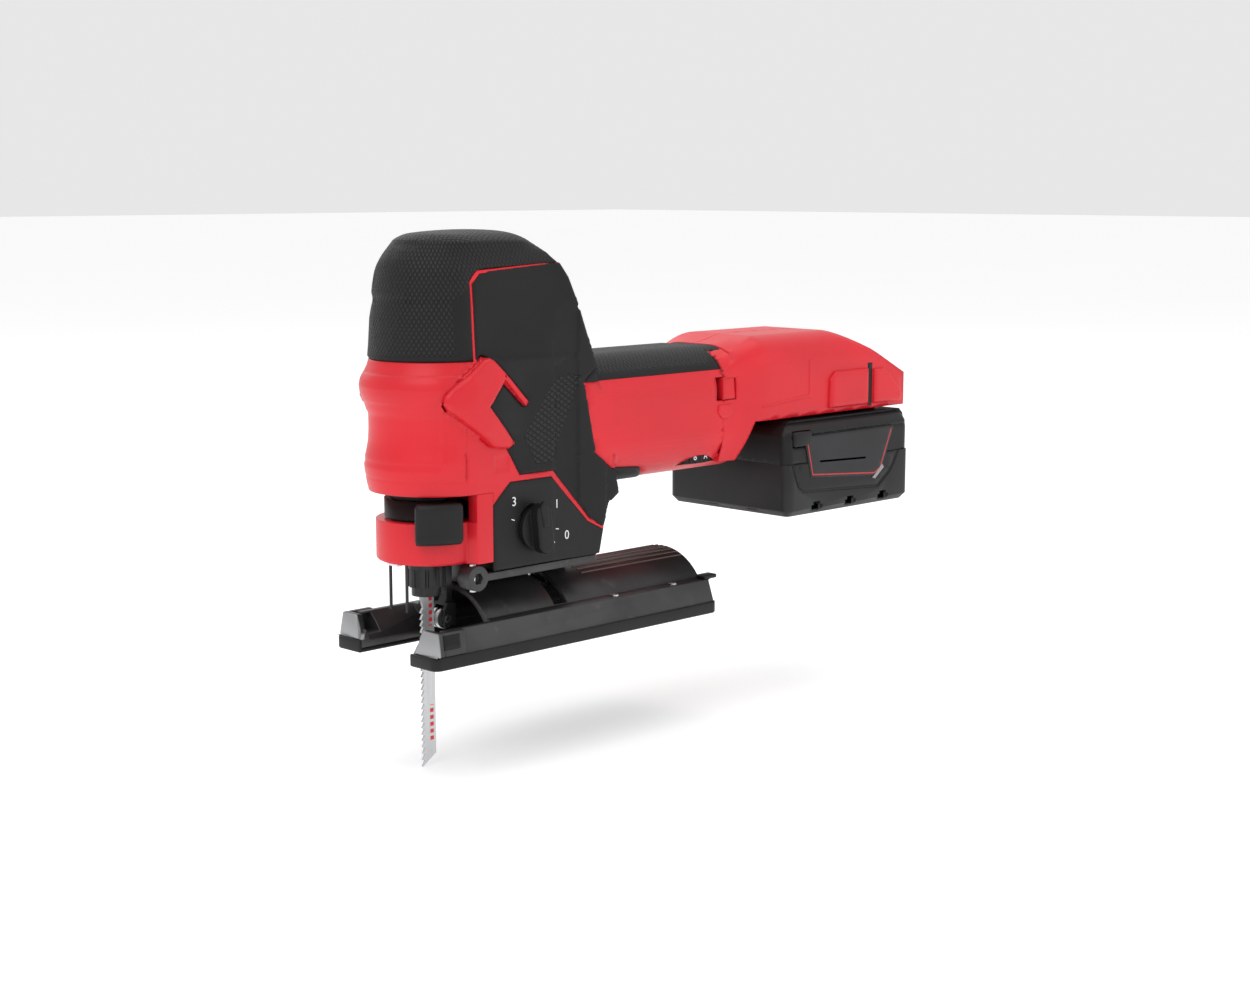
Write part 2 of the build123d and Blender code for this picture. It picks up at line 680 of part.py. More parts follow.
# ------------------------------------------------------------ orbit fork and roller
roller_radius = 4.6
roller_width = 5.0
roller_x = blade_back_x + 0.1 + roller_radius
roller_z = 13.6
roller_pin = 1.6
fork_pivot_x = 11.0
fork_pivot_z = 46.0
fork_pin = 1.5
cheek = 1.5
with BuildPart() as orbit_fork:
    cheek_y = roller_width / 2 + clearance
    with BuildSketch(Plane.XZ.offset(-cheek_y - cheek)):
        with BuildLine():
            Polyline((fork_pivot_x - 2.6, fork_pivot_z + 3), (fork_pivot_x + 1.6, fork_pivot_z + 3),
                     (12.2, 22), (13.0, 18), (13.0, 10.5), (6.5, 10.5), (6.5, 17.5), (9.2, 22),
                     close=True)
        make_face()
    extrude(amount=2 * (cheek_y + cheek))
    with Locations((0, 0, 19.3)):
        Box(60, 2 * cheek_y, 30, align=(Align.CENTER, Align.CENTER, Align.MAX),
            mode=Mode.SUBTRACT)
    with Locations((0, 0, 20.5)):
        for sign in (-1, 1):
            with Locations((0, sign * 2.4, 0)):
                Box(60, 10, 40, align=(Align.CENTER, Align.MIN if sign > 0 else Align.MAX,
                                       Align.MIN), mode=Mode.SUBTRACT)
    with BuildSketch(Plane.XZ.offset(-20)):
        with Locations((fork_pivot_x, fork_pivot_z)):
            Circle(fork_pin + running_fit)
        with Locations((roller_x, roller_z)):
            Circle(roller_pin)
    extrude(amount=40, mode=Mode.SUBTRACT)
keep(orbit_fork, "orbit_fork")

with BuildPart() as roller_pin_piece:
    with Locations(Location((roller_x, 0, roller_z), (90, 0, 0))):
        Cylinder(roller_pin, 2 * (cheek_y + cheek))
keep(roller_pin_piece, "roller_pin")

with BuildPart() as guide_roller:
    with Locations(Location((roller_x, 0, roller_z), (90, 0, 0))):
        Cylinder(roller_radius, roller_width)
        Cylinder(roller_pin + running_fit, 20, mode=Mode.SUBTRACT)
    with BuildSketch(Plane.XZ.offset(-blade_thickness / 2 - 0.15)):
        with Locations((roller_x, roller_z)):
            Circle(20)
            Circle(roller_radius - 1.2, mode=Mode.SUBTRACT)
    extrude(amount=blade_thickness + 0.3, mode=Mode.SUBTRACT)
keep(guide_roller, "guide_roller")

with BuildPart() as fork_pin_piece:
    with Locations(Location((fork_pivot_x, 0, fork_pivot_z), (90, 0, 0))):
        Cylinder(fork_pin, 2 * collar_bore)
keep(fork_pin_piece, "fork_pin")

# ------------------------------------------------------------ orbit knob
with BuildPart() as orbit_knob:
    knob_plane = Plane((knob_x, -body_half_width - 0.4, knob_z), x_dir=(1, 0, 0), z_dir=(0, -1, 0))
    with BuildSketch(knob_plane):
        Circle(9.5)
    extrude(amount=2.4)
    with BuildSketch(knob_plane.offset(2.4)):
        SlotOverall(22, 8.5, rotation=96)
    extrude(amount=5)
    fillet(orbit_knob.faces().sort_by(Axis.Y)[0].edges(), 1.2)
    with BuildSketch(knob_plane):
        Circle(knob_shaft)
    extrude(amount=-8.5)
keep(orbit_knob, "orbit_knob")

# ------------------------------------------------------------ shoe seat and its clamp
seat_x = (16.0, 77.0)
bolt_x = 58.0
bolt_radius = 3.0
saddle_gap = clearance
with BuildPart() as saddle:
    with BuildSketch(Plane.YZ.offset(seat_x[0])):
        Polygon((-4, 26.4), (4, 26.4), (13.2, body_bottom_z), (-13.2, body_bottom_z), align=None)
        Circle(hump_radius + saddle_gap, mode=Mode.SUBTRACT)
    extrude(amount=seat_x[1] - seat_x[0])
    with Locations((bolt_x, 0, body_bottom_z)):
        Cylinder(bolt_radius, 40, mode=Mode.SUBTRACT)
keep(saddle, "saddle")

clamp_plate_radius = hump_radius - hump_wall - saddle_gap
with BuildPart() as bevel_bolt:
    with BuildSketch(Plane.XY.offset(clamp_plate_radius - 2.2)):
        with Locations((bolt_x, 0)):
            Circle(bolt_radius)
    extrude(amount=body_bottom_z + 2 * wall - clamp_plate_radius + 2.2)
    with BuildSketch(Plane.XY.offset(body_bottom_z + wall)):
        with Locations((bolt_x, 0)):
            RegularPolygon(5.5, 6)
    extrude(amount=wall)
keep(bevel_bolt, "bevel_bolt")

with BuildPart() as clamp_plate:
    with BuildSketch(Plane.YZ.offset(bolt_x - 8)):
        Circle(clamp_plate_radius)
        Circle(clamp_plate_radius - 2.7, mode=Mode.SUBTRACT)
        Polygon((0, 0), (-15, 40), (15, 40), align=None, mode=Mode.INTERSECT)
    extrude(amount=16)
    add(bevel_bolt.part, mode=Mode.SUBTRACT)
keep(clamp_plate, "clamp_plate")

hub_x = 5.0
hub_y = -25.0
hub_z = 35.0
hub_radius = 5.4
lever_end_x = 76.0
arm_z = (33.4, 36.6)
with BuildPart() as bevel_lever:
    with BuildSketch(Plane.XZ.offset(-hub_y - 3.8)):
        with Locations((hub_x, hub_z)):
            Circle(hub_radius)
    extrude(amount=7.6)
    with BuildSketch(Plane.XZ.offset(-hub_y + 1)):
        with Locations((hub_x, hub_z)):
            RegularPolygon(2.6, 6)
    extrude(amount=10, mode=Mode.SUBTRACT)
    with BuildSketch(Plane.XY.offset(arm_z[0])):
        with Locations((hub_x + 3, hub_y)):
            Rectangle(lever_end_x - hub_x - 3, 7, align=(Align.MIN, Align.CENTER))
    extrude(amount=arm_z[1] - arm_z[0])
    fillet(bevel_lever.edges().filter_by(Axis.Z).group_by(Axis.X)[-1], 3)
    with Locations((hub_x, hub_y, hub_z)):
        Cylinder(1.5 + running_fit, 40, mode=Mode.SUBTRACT)
keep(bevel_lever, "bevel_lever")

with BuildPart() as bevel_lever_pin:
    with BuildSketch(Plane.XY.offset(hub_z - hub_radius - 0.6)):
        with Locations((hub_x, hub_y)):
            Circle(1.5)
    extrude(amount=clamp_top_z - hub_z + hub_radius + 0.6)
keep(bevel_lever_pin, "bevel_lever_pin")

# ------------------------------------------------------------ shoe
rail_outer = shoe_half_width - 1.4
rail_top_outer = 29.5
shoe_rear = shoe_rear_x - 1.7
tunnel_radius = hump_radius - hump_wall
floor_top_z = cover_floor + 2.5
slot_half_angle = bevel_limit + 10
# Where the clamp's foot passes over the prongs at the bevel limit, seen from the shoe.
relief_low_z = 5.0
relief_y = 23.2
relief_slant = 11.6
with BuildPart() as shoe:
    with BuildSketch(Plane.YZ.offset(shoe_front_x + 1.6)):
        for sign in (-1, 1):
            Polygon((sign * prong_gap, cover_floor), (sign * rail_outer, cover_floor),
                    (sign * rail_outer, cover_rim_z), (sign * rail_top_outer, rail_top_z),
                    (sign * prong_gap, rail_top_z), align=None)
    extrude(amount=shoe_rear - shoe_front_x - 1.6)
    with BuildSketch(Plane.YZ.offset(hump_front_x)):
        Circle(hump_radius)
        with Locations((0, cover_floor)):
            Rectangle(100, 100, align=(Align.CENTER, Align.MAX), mode=Mode.SUBTRACT)
    extrude(amount=shoe_rear - hump_front_x)
    with BuildSketch(Plane.YZ.offset(hump_front_x)):
        Circle(tunnel_radius)
        with Locations((0, floor_top_z)):
            Rectangle(100, 100, align=(Align.CENTER, Align.MAX), mode=Mode.SUBTRACT)
    extrude(amount=shoe_rear, mode=Mode.SUBTRACT)
    # Sloping ends of the prongs.
    with BuildSketch(Plane.XZ.offset(-50)):
        Polygon((shoe_front_x - 5, cover_rim_z), (shoe_front_x + 1.6, cover_rim_z),
                (shoe_front_x + 9.5, rail_top_z + 1), (shoe_front_x - 5, rail_top_z + 1),
                align=None)
    extrude(amount=100, mode=Mode.SUBTRACT)
    # Window through both prongs for the bar of a parallel guide.
    with Locations((-14.5, 0, 11)):
        Box(9, 100, 7.5, mode=Mode.SUBTRACT)
    # Relief that leaves room for the guard, the blade clamp and the fork when the shoe is tilted.
    with BuildSketch(Plane.YZ.offset(guard_x - 2.5)):
        for sign in (-1, 1):
            Polygon((sign * (prong_gap - 1), relief_low_z - 1), (sign * prong_gap, relief_low_z),
                    (sign * relief_y, relief_y - relief_slant),
                    (sign * (rail_top_z + 1 + relief_slant), rail_top_z + 1),
                    (sign * (prong_gap - 1), rail_top_z + 1), align=None)
    extrude(amount=hump_front_x - guard_x + 2.5, mode=Mode.SUBTRACT)
    # The slot along which the clamp bolt moves as the shoe tilts.
    reach = 2 * hump_radius
    slot_side = math.radians(90 - slot_half_angle)
    with BuildSketch(Plane.YZ.offset(bolt_x - 4)):
        Polygon((0, 0), (reach * math.cos(slot_side), reach * math.sin(slot_side)),
                (0, reach), (-reach * math.cos(slot_side), reach * math.sin(slot_side)),
                align=None)
        Circle(tunnel_radius - 1, mode=Mode.SUBTRACT)
    extrude(amount=8, mode=Mode.SUBTRACT)
keep(shoe, "shoe")

with BuildPart() as sole_cover:
    with BuildSketch() as cover_plan:
        with Locations(((shoe_front_x + shoe_rear_x) / 2, 0)):
            RectangleRounded(shoe_rear_x - shoe_front_x, 2 * shoe_half_width, 4)
        with Locations((shoe_front_x - 10, 0)):
            Rectangle(hump_front_x - shoe_front_x + 9, 2 * prong_gap - 1.2,
                      align=(Align.MIN, Align.CENTER), mode=Mode.SUBTRACT)
    extrude(amount=cover_rim_z)
    with BuildSketch(Plane.XY.offset(cover_floor)):
        with Locations((shoe_front_x + 1.6, 0)):
            Rectangle(shoe_rear - shoe_front_x - 1.6, 2 * rail_outer,
                      align=(Align.MIN, Align.CENTER))
    extrude(amount=cover_rim_z, mode=Mode.SUBTRACT)
    # Rear clip that hooks over the shoe.
    with Locations((shoe_rear, -24, cover_rim_z)):
        Box(shoe_rear_x - shoe_rear, 9, rail_top_z - cover_rim_z,
            align=(Align.MIN, Align.CENTER, Align.MIN))
    with Locations((shoe_rear - 3, -27, rail_top_z)):
        Box(8.5, 6, 2, align=(Align.MIN, Align.CENTER, Align.MIN))
keep(sole_cover, "sole_cover")

with BuildPart() as shoe_screws:
    with BuildSketch(Plane.XY.offset(rail_top_z)):
        for sign in (-1, 1):
            with Locations((88, sign * 26.5), (126, sign * 26.5)):
                Circle(2)
    extrude(amount=0.7)
keep(shoe_screws, "shoe_screws")

# ------------------------------------------------------------ controls
with BuildPart() as speed_wheel:
    with BuildSketch(Plane.XY.offset(wheel_z[0])):
        with Locations((wheel_x, 0)):
            Circle(wheel_radius)
            with PolarLocations(wheel_radius, 48):
                Circle(0.45, mode=Mode.SUBTRACT)
            Circle(3, mode=Mode.SUBTRACT)
    extrude(amount=wheel_z[1] - wheel_z[0])
keep(speed_wheel, "speed_wheel")

with BuildPart() as wheel_pin:
    with BuildSketch(Plane.XY.offset(barrel_bottom_z + wall)):
        with Locations((wheel_x, 0)):
            Circle(3 - running_fit)
    extrude(amount=88 - barrel_bottom_z - wall)
keep(wheel_pin, "wheel_pin")

with BuildPart() as switch_body:
    with Locations((wheel_x - 4, 0, 88)):
        Box(22, 30, 18, align=(Align.MIN, Align.CENTER, Align.MIN))
    with Locations((slot_x[0] - 8, -15, 100)):
        Box(28, 12, 9, align=(Align.MIN, Align.CENTER, Align.MIN), mode=Mode.SUBTRACT)
keep(switch_body, "switch_body")

with BuildPart() as power_slider:
    button_x = slot_x[1] - clearance - button_length
    with Locations((button_x, -barrel_half_width - 0.8, slot_z[0] + clearance)):
        Box(button_length, 9, slot_z[1] - slot_z[0] - 2 * clearance,
            align=(Align.MIN, Align.MIN, Align.MIN))
    fillet(power_slider.faces().sort_by(Axis.Y)[0].edges(), 1)
keep(power_slider, "power_slider")

with BuildPart() as controller_board:
    with Locations((205, 0, channel_top_z + channel_roof)):
        Box(58, 44, 1.6, align=(Align.MIN, Align.CENTER, Align.MIN))
        Box(14, 40, 9, align=(Align.MIN, Align.CENTER, Align.MIN))
    with Locations((236, -10, channel_top_z + channel_roof), (236, 8, channel_top_z + channel_roof)):
        Cylinder(5, 12, align=(Align.CENTER, Align.CENTER, Align.MIN))
keep(controller_board, "controller_board")

with BuildPart() as terminal_block:
    with Locations((rail_front_x - 12, 0, rear_bottom_z + wall)):
        Box(7, 40, channel_top_z - rear_bottom_z - wall, align=(Align.MIN, Align.CENTER, Align.MIN))
keep(terminal_block, "terminal_block")

blade_rows = (-15.0, -5.0, 5.0, 15.0)
with BuildPart() as terminal_blades:
    for y in blade_rows:
        with Locations((rail_front_x, y, lip_top_z + 1.2)):
            Box(9, 1, 4.6, align=(Align.MIN, Align.CENTER, Align.MIN))
keep(terminal_blades, "terminal_blades")

with BuildPart() as housing_screws:
    for x, z in screw_points:
        with Locations(Plane((x, screw_seat_y, z), x_dir=(1, 0, 0), z_dir=(0, 1, 0))):
            Cylinder(screw_head, 2.6, align=(Align.CENTER, Align.CENTER, Align.MIN))
        with Locations(Plane((x, screw_seat_y, z), x_dir=(1, 0, 0), z_dir=(0, -1, 0))):
            Cylinder(screw_shank, 35, align=(Align.CENTER, Align.CENTER, Align.MIN))
        with Locations(Plane((x, screw_seat_y + 1.2, z), x_dir=(1, 0, 0), z_dir=(0, 1, 0))):
            Cylinder(1.4, 5, align=(Align.CENTER, Align.CENTER, Align.MIN), mode=Mode.SUBTRACT)
keep(housing_screws, "housing_screws")

# ------------------------------------------------------------ battery pack
pack_length = pack_rear_x - pack_front_x
pack_wall = 1.7
top_step = 0.8                 # the upper half is narrower by this on each side
label_lift = 0.8
pack_middle_x = (pack_front_x + pack_rear_x) / 2


def pack_block(low, high, half, inset):
    """A block of the pack between two heights."""
    with BuildPart() as block:
        with BuildSketch(Plane.XY.offset(low)):
            with Locations((pack_middle_x, 0)):
                RectangleRounded(pack_length - 2 * inset, 2 * (half - inset), max(5 - inset, 1))
        extrude(amount=high - low)
    return block.part


with BuildPart() as pack_tray:
    add(pack_block(pack_bottom_z, tray_top_z, pack_half_width, 0))
    chamfer(pack_tray.faces().sort_by(Axis.Z)[0].edges(), 3)
    add(pack_block(pack_bottom_z + 2, tray_top_z, pack_half_width, pack_wall), mode=Mode.SUBTRACT)
    # Grip notches along the bottom of each side.
    for sign in (-1, 1):
        with Locations(*[(x, sign * pack_half_width, pack_bottom_z) for x in (214, 240, 266)]):
            Box(9, 2.4, 9, mode=Mode.SUBTRACT)
keep(pack_tray, "pack_tray")

with BuildPart() as pack_top:
    add(pack_block(tray_top_z, pack_top_z, pack_half_width - top_step, 0))
    chamfer(pack_top.faces().sort_by(Axis.Z)[-1].edges(), 2.5)
    add(pack_block(tray_top_z, pack_top_z - 2.6, pack_half_width - top_step, pack_wall),
        mode=Mode.SUBTRACT)
    with Locations((rail_front_x + 1, 0, pack_top_z - 2.6)):
        Box(86, 2 * neck_half, lip_top_z + clearance - pack_top_z + 2.6,
            align=(Align.MIN, Align.CENTER, Align.MIN))
    with Locations((rail_front_x + 1, 0, lip_top_z + clearance)):
        Box(86, 2 * tongue_half, channel_top_z - lip_top_z - 2 * clearance,
            align=(Align.MIN, Align.CENTER, Align.MIN))
    for y in blade_rows:
        with Locations((rail_front_x, y, lip_top_z + 0.8)):
            Box(12, 1.8, 10, align=(Align.MIN, Align.CENTER, Align.MIN), mode=Mode.SUBTRACT)
    for sign in (-1, 1):
        with Locations((pack_front_x + 4, sign * pack_half_width, tray_top_z + 8)):
            Box(14, 12, 8, align=(Align.MIN, Align.CENTER, Align.MIN), mode=Mode.SUBTRACT)
keep(pack_top, "pack_top")

with BuildPart() as cells:
    spacing = 2 * cell_radius + 0.1
    for row in range(2):
        for column in range(5):
            x = pack_middle_x + (column - 2) * spacing
            z = pack_bottom_z + 2.1 + cell_radius + row * spacing
            with Locations(Location((x, 0, z), (90, 0, 0))):
                Cylinder(cell_radius, cell_length)
keep(cells, "cells")

with BuildPart() as pack_labels:
    for sign in (-1, 1):
        label_face = -sign * (pack_half_width - top_step) - label_lift * (sign + 1) / 2
        with BuildSketch(Plane.XZ.offset(label_face)):
            Polygon((216, 68), (272, 68), (276, 79), (212, 79), align=None)
        extrude(amount=label_lift)
keep(pack_labels, "pack_labels")

for side_name, sign in (("left", -1), ("right", 1)):
    with BuildPart() as pack_latch:
        with Locations((pack_front_x + 4.4, sign * (pack_half_width + 0.2), tray_top_z + 8.4)):
            Box(13.2, 4.6, 7.2, align=(Align.MIN, Align.MAX if sign > 0 else Align.MIN, Align.MIN))
    keep(pack_latch, f"pack_latch_{side_name}")

os.makedirs("parts", exist_ok=True)
for piece in finished:
    export_step(piece, f"parts/{piece.label}.step")
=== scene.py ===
"""Looks of the cordless barrel-grip jigsaw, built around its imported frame."""
import json
import math
from functools import partial

import bmesh
import bpy
import numpy as np
from bpy.props import FloatProperty, FloatVectorProperty, PointerProperty
from mathutils import Matrix, Vector
from mathutils.bvhtree import BVHTree
from mathutils.geometry import delaunay_2d_cdt
from mathutils.kdtree import KDTree


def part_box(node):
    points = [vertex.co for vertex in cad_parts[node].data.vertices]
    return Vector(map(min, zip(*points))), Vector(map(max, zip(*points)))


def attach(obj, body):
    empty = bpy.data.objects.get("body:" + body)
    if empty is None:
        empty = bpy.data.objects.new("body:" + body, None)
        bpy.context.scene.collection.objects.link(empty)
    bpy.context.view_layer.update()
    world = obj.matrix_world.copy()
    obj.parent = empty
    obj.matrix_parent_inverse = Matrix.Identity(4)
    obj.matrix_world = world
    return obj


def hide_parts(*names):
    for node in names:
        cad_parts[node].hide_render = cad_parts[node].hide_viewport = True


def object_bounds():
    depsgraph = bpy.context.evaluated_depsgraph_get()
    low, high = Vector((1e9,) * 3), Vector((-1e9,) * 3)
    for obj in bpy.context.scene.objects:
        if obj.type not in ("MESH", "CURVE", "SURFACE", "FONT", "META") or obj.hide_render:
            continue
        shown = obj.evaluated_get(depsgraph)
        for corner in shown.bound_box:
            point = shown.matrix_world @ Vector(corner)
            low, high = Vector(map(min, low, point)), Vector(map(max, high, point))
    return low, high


bl_info = {
    "name": "Barrel-Grip Jigsaw",
    "version": (1, 0, 0),
    "blender": (4, 5, 0),
    "location": "3D View > Sidebar > Jigsaw",
    "description": "Casing, grips, shoe and battery pack of a cordless jigsaw",
    "category": "Object",
}

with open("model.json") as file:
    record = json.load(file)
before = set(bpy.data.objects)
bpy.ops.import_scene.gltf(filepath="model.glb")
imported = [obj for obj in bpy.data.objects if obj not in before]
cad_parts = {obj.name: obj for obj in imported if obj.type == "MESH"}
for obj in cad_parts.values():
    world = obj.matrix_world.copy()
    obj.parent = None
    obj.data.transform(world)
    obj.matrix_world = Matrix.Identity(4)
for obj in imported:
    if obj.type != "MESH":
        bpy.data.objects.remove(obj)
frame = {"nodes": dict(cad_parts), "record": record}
cad_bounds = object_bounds()
MM = 0.001
PER_METRE = 1000.0

# points closer than MERGE are one, and shaped regions have edges up to FINE, in metres
MERGE, FINE, MOST_FACES = 2e-6, 0.0016, 120000

# the nose line, the frame's tower round it and the middle of the orbit dial, in mm
NOSE_X, TOWER_R = 6.0, 28.5
DIAL_X, DIAL_Z = 37.5, 53.4


# ------------------------------------------------------------ sizes and colours
class JigsawSettings(bpy.types.PropertyGroup):
    """Sizes and colours of the jigsaw that a user would change."""
    red: FloatVectorProperty(
        name="Red", description="Colour of the casing", subtype="COLOR", size=3,
        default=(0.62, 0.012, 0.022), min=0, max=1)
    rubber: FloatVectorProperty(
        name="Rubber", description="Colour of the overmould", subtype="COLOR", size=3,
        default=(0.008, 0.008, 0.0085), min=0, max=1)
    shoe: FloatVectorProperty(
        name="Shoe", description="Colour of the coated casting", subtype="COLOR", size=3,
        default=(0.055, 0.054, 0.055), min=0, max=1)
    tray: FloatVectorProperty(
        name="Tray", description="Colour of the lower half of the pack", subtype="COLOR", size=3,
        default=(0.017, 0.017, 0.0175), min=0, max=1)
    grip_lift: FloatProperty(
        name="Grip lift", description="How far the overmould stands above the casing",
        subtype="DISTANCE", default=0.0006, min=0.0, max=0.002)
    lug_lift: FloatProperty(
        name="Lug lift", description="How far the side lugs stand above the casing",
        subtype="DISTANCE", default=0.0026, min=0.0, max=0.005)


def settings():
    """The settings of this scene."""
    return bpy.context.scene.jigsaw


# ------------------------------------------------------------ shader maths
class Sock:
    """A socket with arithmetic, so that shader maths reads as an expression."""

    def __init__(self, graph, link):
        self.graph = graph
        self.link = link

    def _math(self, operation, *others):
        values = {0: self}
        for index, other in enumerate(others):
            values[index + 1] = other
        return self.graph.node("ShaderNodeMath", {"operation": operation}, values)

    def __add__(self, other):
        return self._math("ADD", other)

    __radd__ = __add__

    def __sub__(self, other):
        return self._math("SUBTRACT", other)

    def __rsub__(self, other):
        return self.graph.node("ShaderNodeMath", {"operation": "SUBTRACT"}, {0: other, 1: self})

    def __mul__(self, other):
        return self._math("MULTIPLY", other)

    __rmul__ = __mul__

    def __truediv__(self, other):
        return self._math("DIVIDE", other)

    def arctan2(self, other):
        """The angle whose tangent is this value over another."""
        return self._math("ARCTAN2", other)

    def absolute(self):
        """This value without its sign."""
        return self._math("ABSOLUTE")

    def fraction(self):
        """The part of this value after the point."""
        return self._math("FRACT")

    def maximum(self, other):
        """The larger of two values."""
        return self._math("MAXIMUM", other)

    def minimum(self, other):
        """The smaller of two values."""
        return self._math("MINIMUM", other)

    def step(self, low, high):
        """0 below low, 1 above high, smooth between."""
        return self.graph.node(
            "ShaderNodeMapRange", {"interpolation_type": "SMOOTHSTEP", "clamp": True},
            {0: self, 1: low, 2: high, 3: 0.0, 4: 1.0})

    def between(self, low, high, soft):
        """1 from low to high and 0 outside, smooth within soft of either."""
        return (self - low).step(-soft, soft) * (high - self).step(-soft, soft)


class Finish:
    """A material under construction."""

    def __init__(self, name):
        self.material = bpy.data.materials.new(name)
        self.material.use_nodes = True
        self.tree = self.material.node_tree
        self.tree.nodes.clear()
        self.output = self.tree.nodes.new("ShaderNodeOutputMaterial")
        self.bsdf = self.tree.nodes.new("ShaderNodeBsdfPrincipled")
        self.tree.links.new(self.bsdf.outputs[0], self.output.inputs[0])

    def node(self, kind, options=None, values=None, out=0):
        """Add a node, set its options, then the values or links of its sockets."""
        made = self.tree.nodes.new(kind)
        for key, value in (options or {}).items():
            setattr(made, key, value)
        for key, value in (values or {}).items():
            socket = made.inputs[key]
            if isinstance(value, Sock):
                self.tree.links.new(value.link, socket)
            else:
                socket.default_value = value
        return Sock(self, made.outputs[out])

    def place(self):
        """Object coordinates."""
        return self.node("ShaderNodeTexCoord", out=3)

    def axes(self):
        """The three object coordinates, in millimetres."""
        parts = self.tree.nodes.new("ShaderNodeSeparateXYZ")
        self.tree.links.new(self.place().link, parts.inputs[0])
        return [Sock(self, parts.outputs[index]) * PER_METRE for index in range(3)]

    def noise(self, scale, detail=3.0, rough=0.5):
        """Fractal noise over the object, with scale in features per metre."""
        return self.node("ShaderNodeTexNoise", None,
                         {"Vector": self.place(), "Scale": scale, "Detail": detail,
                          "Roughness": rough})

    def streaks(self, scales, detail):
        """Noise stretched by its scales along the three axes, in features per metre."""
        place = self.node("ShaderNodeMapping", None, {"Vector": self.place(), "Scale": scales})
        return self.node("ShaderNodeTexNoise", None,
                         {"Vector": place, "Scale": 1.0, "Detail": detail})

    def mix(self, factor, first, second):
        """Blend two colours."""
        made = self.tree.nodes.new("ShaderNodeMix")
        made.data_type = "RGBA"
        for index, value in ((0, factor), (6, first), (7, second)):
            if isinstance(value, Sock):
                self.tree.links.new(value.link, made.inputs[index])
            else:
                made.inputs[index].default_value = value
        return Sock(self, made.outputs[2])

    def set(self, **values):
        """Set or link the shader's own sockets."""
        for key, value in values.items():
            socket = self.bsdf.inputs[key.replace("_", " ")]
            if isinstance(value, Sock):
                self.tree.links.new(value.link, socket)
            else:
                socket.default_value = value

    def bump(self, height, distance, strength=1.0, edge=0.0):
        """Relief from a height, over edges that are softened by edge metres."""
        values = {"Height": height, "Distance": distance, "Strength": strength}
        if edge:
            values["Normal"] = self.node("ShaderNodeBevel", {"samples": 6}, {"Radius": edge})
        self.set(Normal=self.node("ShaderNodeBump", None, values))


def rgba(colour, scale=1.0):
    """A colour with alpha, its brightness scaled."""
    return tuple(min(1.0, part * scale) for part in colour[:3]) + (1.0,)


finishes = {}


def red_plastic():
    """Satin red moulding with a fine spark-eroded grain."""
    finish = Finish("red_plastic")
    colour = settings().red
    cloud = finish.noise(22.0, 4.0)
    grain = finish.noise(2600.0, 2.0)
    wear = finish.noise(90.0, 5.0).step(0.62, 0.8)
    shade = finish.mix(cloud.step(0.3, 0.7), rgba(colour, 0.93), rgba(colour, 1.06))
    finish.set(Base_Color=shade, Roughness=0.34 + 0.07 * cloud + 0.05 * wear,
               Specular_IOR_Level=0.35)
    finish.bump(grain, 0.00003, 0.35, 0.0004)
    return finish.material


def plain_black(name, colour, low, spread, grain_scale, depth):
    """Black moulding or overmould with a fine grain."""
    finish = Finish(name)
    cloud = finish.noise(30.0, 4.0)
    grain = finish.noise(grain_scale, 3.0)
    dust = finish.noise(400.0, 6.0, 0.7).step(0.66, 0.86)
    base = finish.mix(cloud.step(0.3, 0.7), rgba(colour, 0.85), rgba(colour, 1.25))
    finish.set(Base_Color=finish.mix(dust * 0.25, base, rgba(colour, 2.4)),
               Roughness=low + spread * cloud, Specular_IOR_Level=0.25)
    finish.bump(grain, depth, 0.4, 0.0004)
    return finish.material


def metal(name, colour, rough, grain_axis=None, edge=0.0003, metallic=1.0):
    """Metal with machining or casting marks."""
    finish = Finish(name)
    cloud = finish.noise(45.0, 4.0)
    if grain_axis is None:
        grain = finish.noise(1800.0, 3.0)
    else:
        stretch = [1800.0] * 3
        stretch[grain_axis] = 40.0
        grain = finish.streaks(stretch, 3.0)
    base = finish.mix(cloud.step(0.3, 0.7), rgba(colour, 0.86), rgba(colour, 1.12))
    finish.set(Base_Color=base, Metallic=metallic,
               Roughness=rough + 0.12 * (grain - 0.5) + 0.08 * (cloud - 0.5))
    finish.bump(grain, 0.00004, 0.3, edge)
    return finish.material


def diamonds(u, v, pitch_u, pitch_v):
    """A raised diamond lattice over two coordinates, 0 in its grooves and 1 on top."""
    rising = u / pitch_u + v / pitch_v
    falling = u / pitch_u - v / pitch_v
    first = (rising.fraction() - 0.5).absolute() * 2.0
    second = (falling.fraction() - 0.5).absolute() * 2.0
    return (1.0 - first.maximum(second)).step(0.02, 0.42)


def all_round(finish, pitch_u, pitch_v):
    """The diamond lattice on surfaces that face any way."""
    x, y, z = finish.axes()
    facing = finish.node("ShaderNodeTexCoord", out=1)
    top = finish.node("ShaderNodeSeparateXYZ", None, {0: facing}, out=2).absolute()
    turn = y.absolute().arctan2((NOSE_X - x).maximum(0.0))
    along = turn * 27.0 + (x - NOSE_X).maximum(0.0)
    flank = diamonds(along, z, pitch_u, pitch_v)
    crown = diamonds(x, y, pitch_v, pitch_u)
    over = top.step(0.62, 0.72)
    return flank * (1.0 - over) + crown * over, (x, y, z)


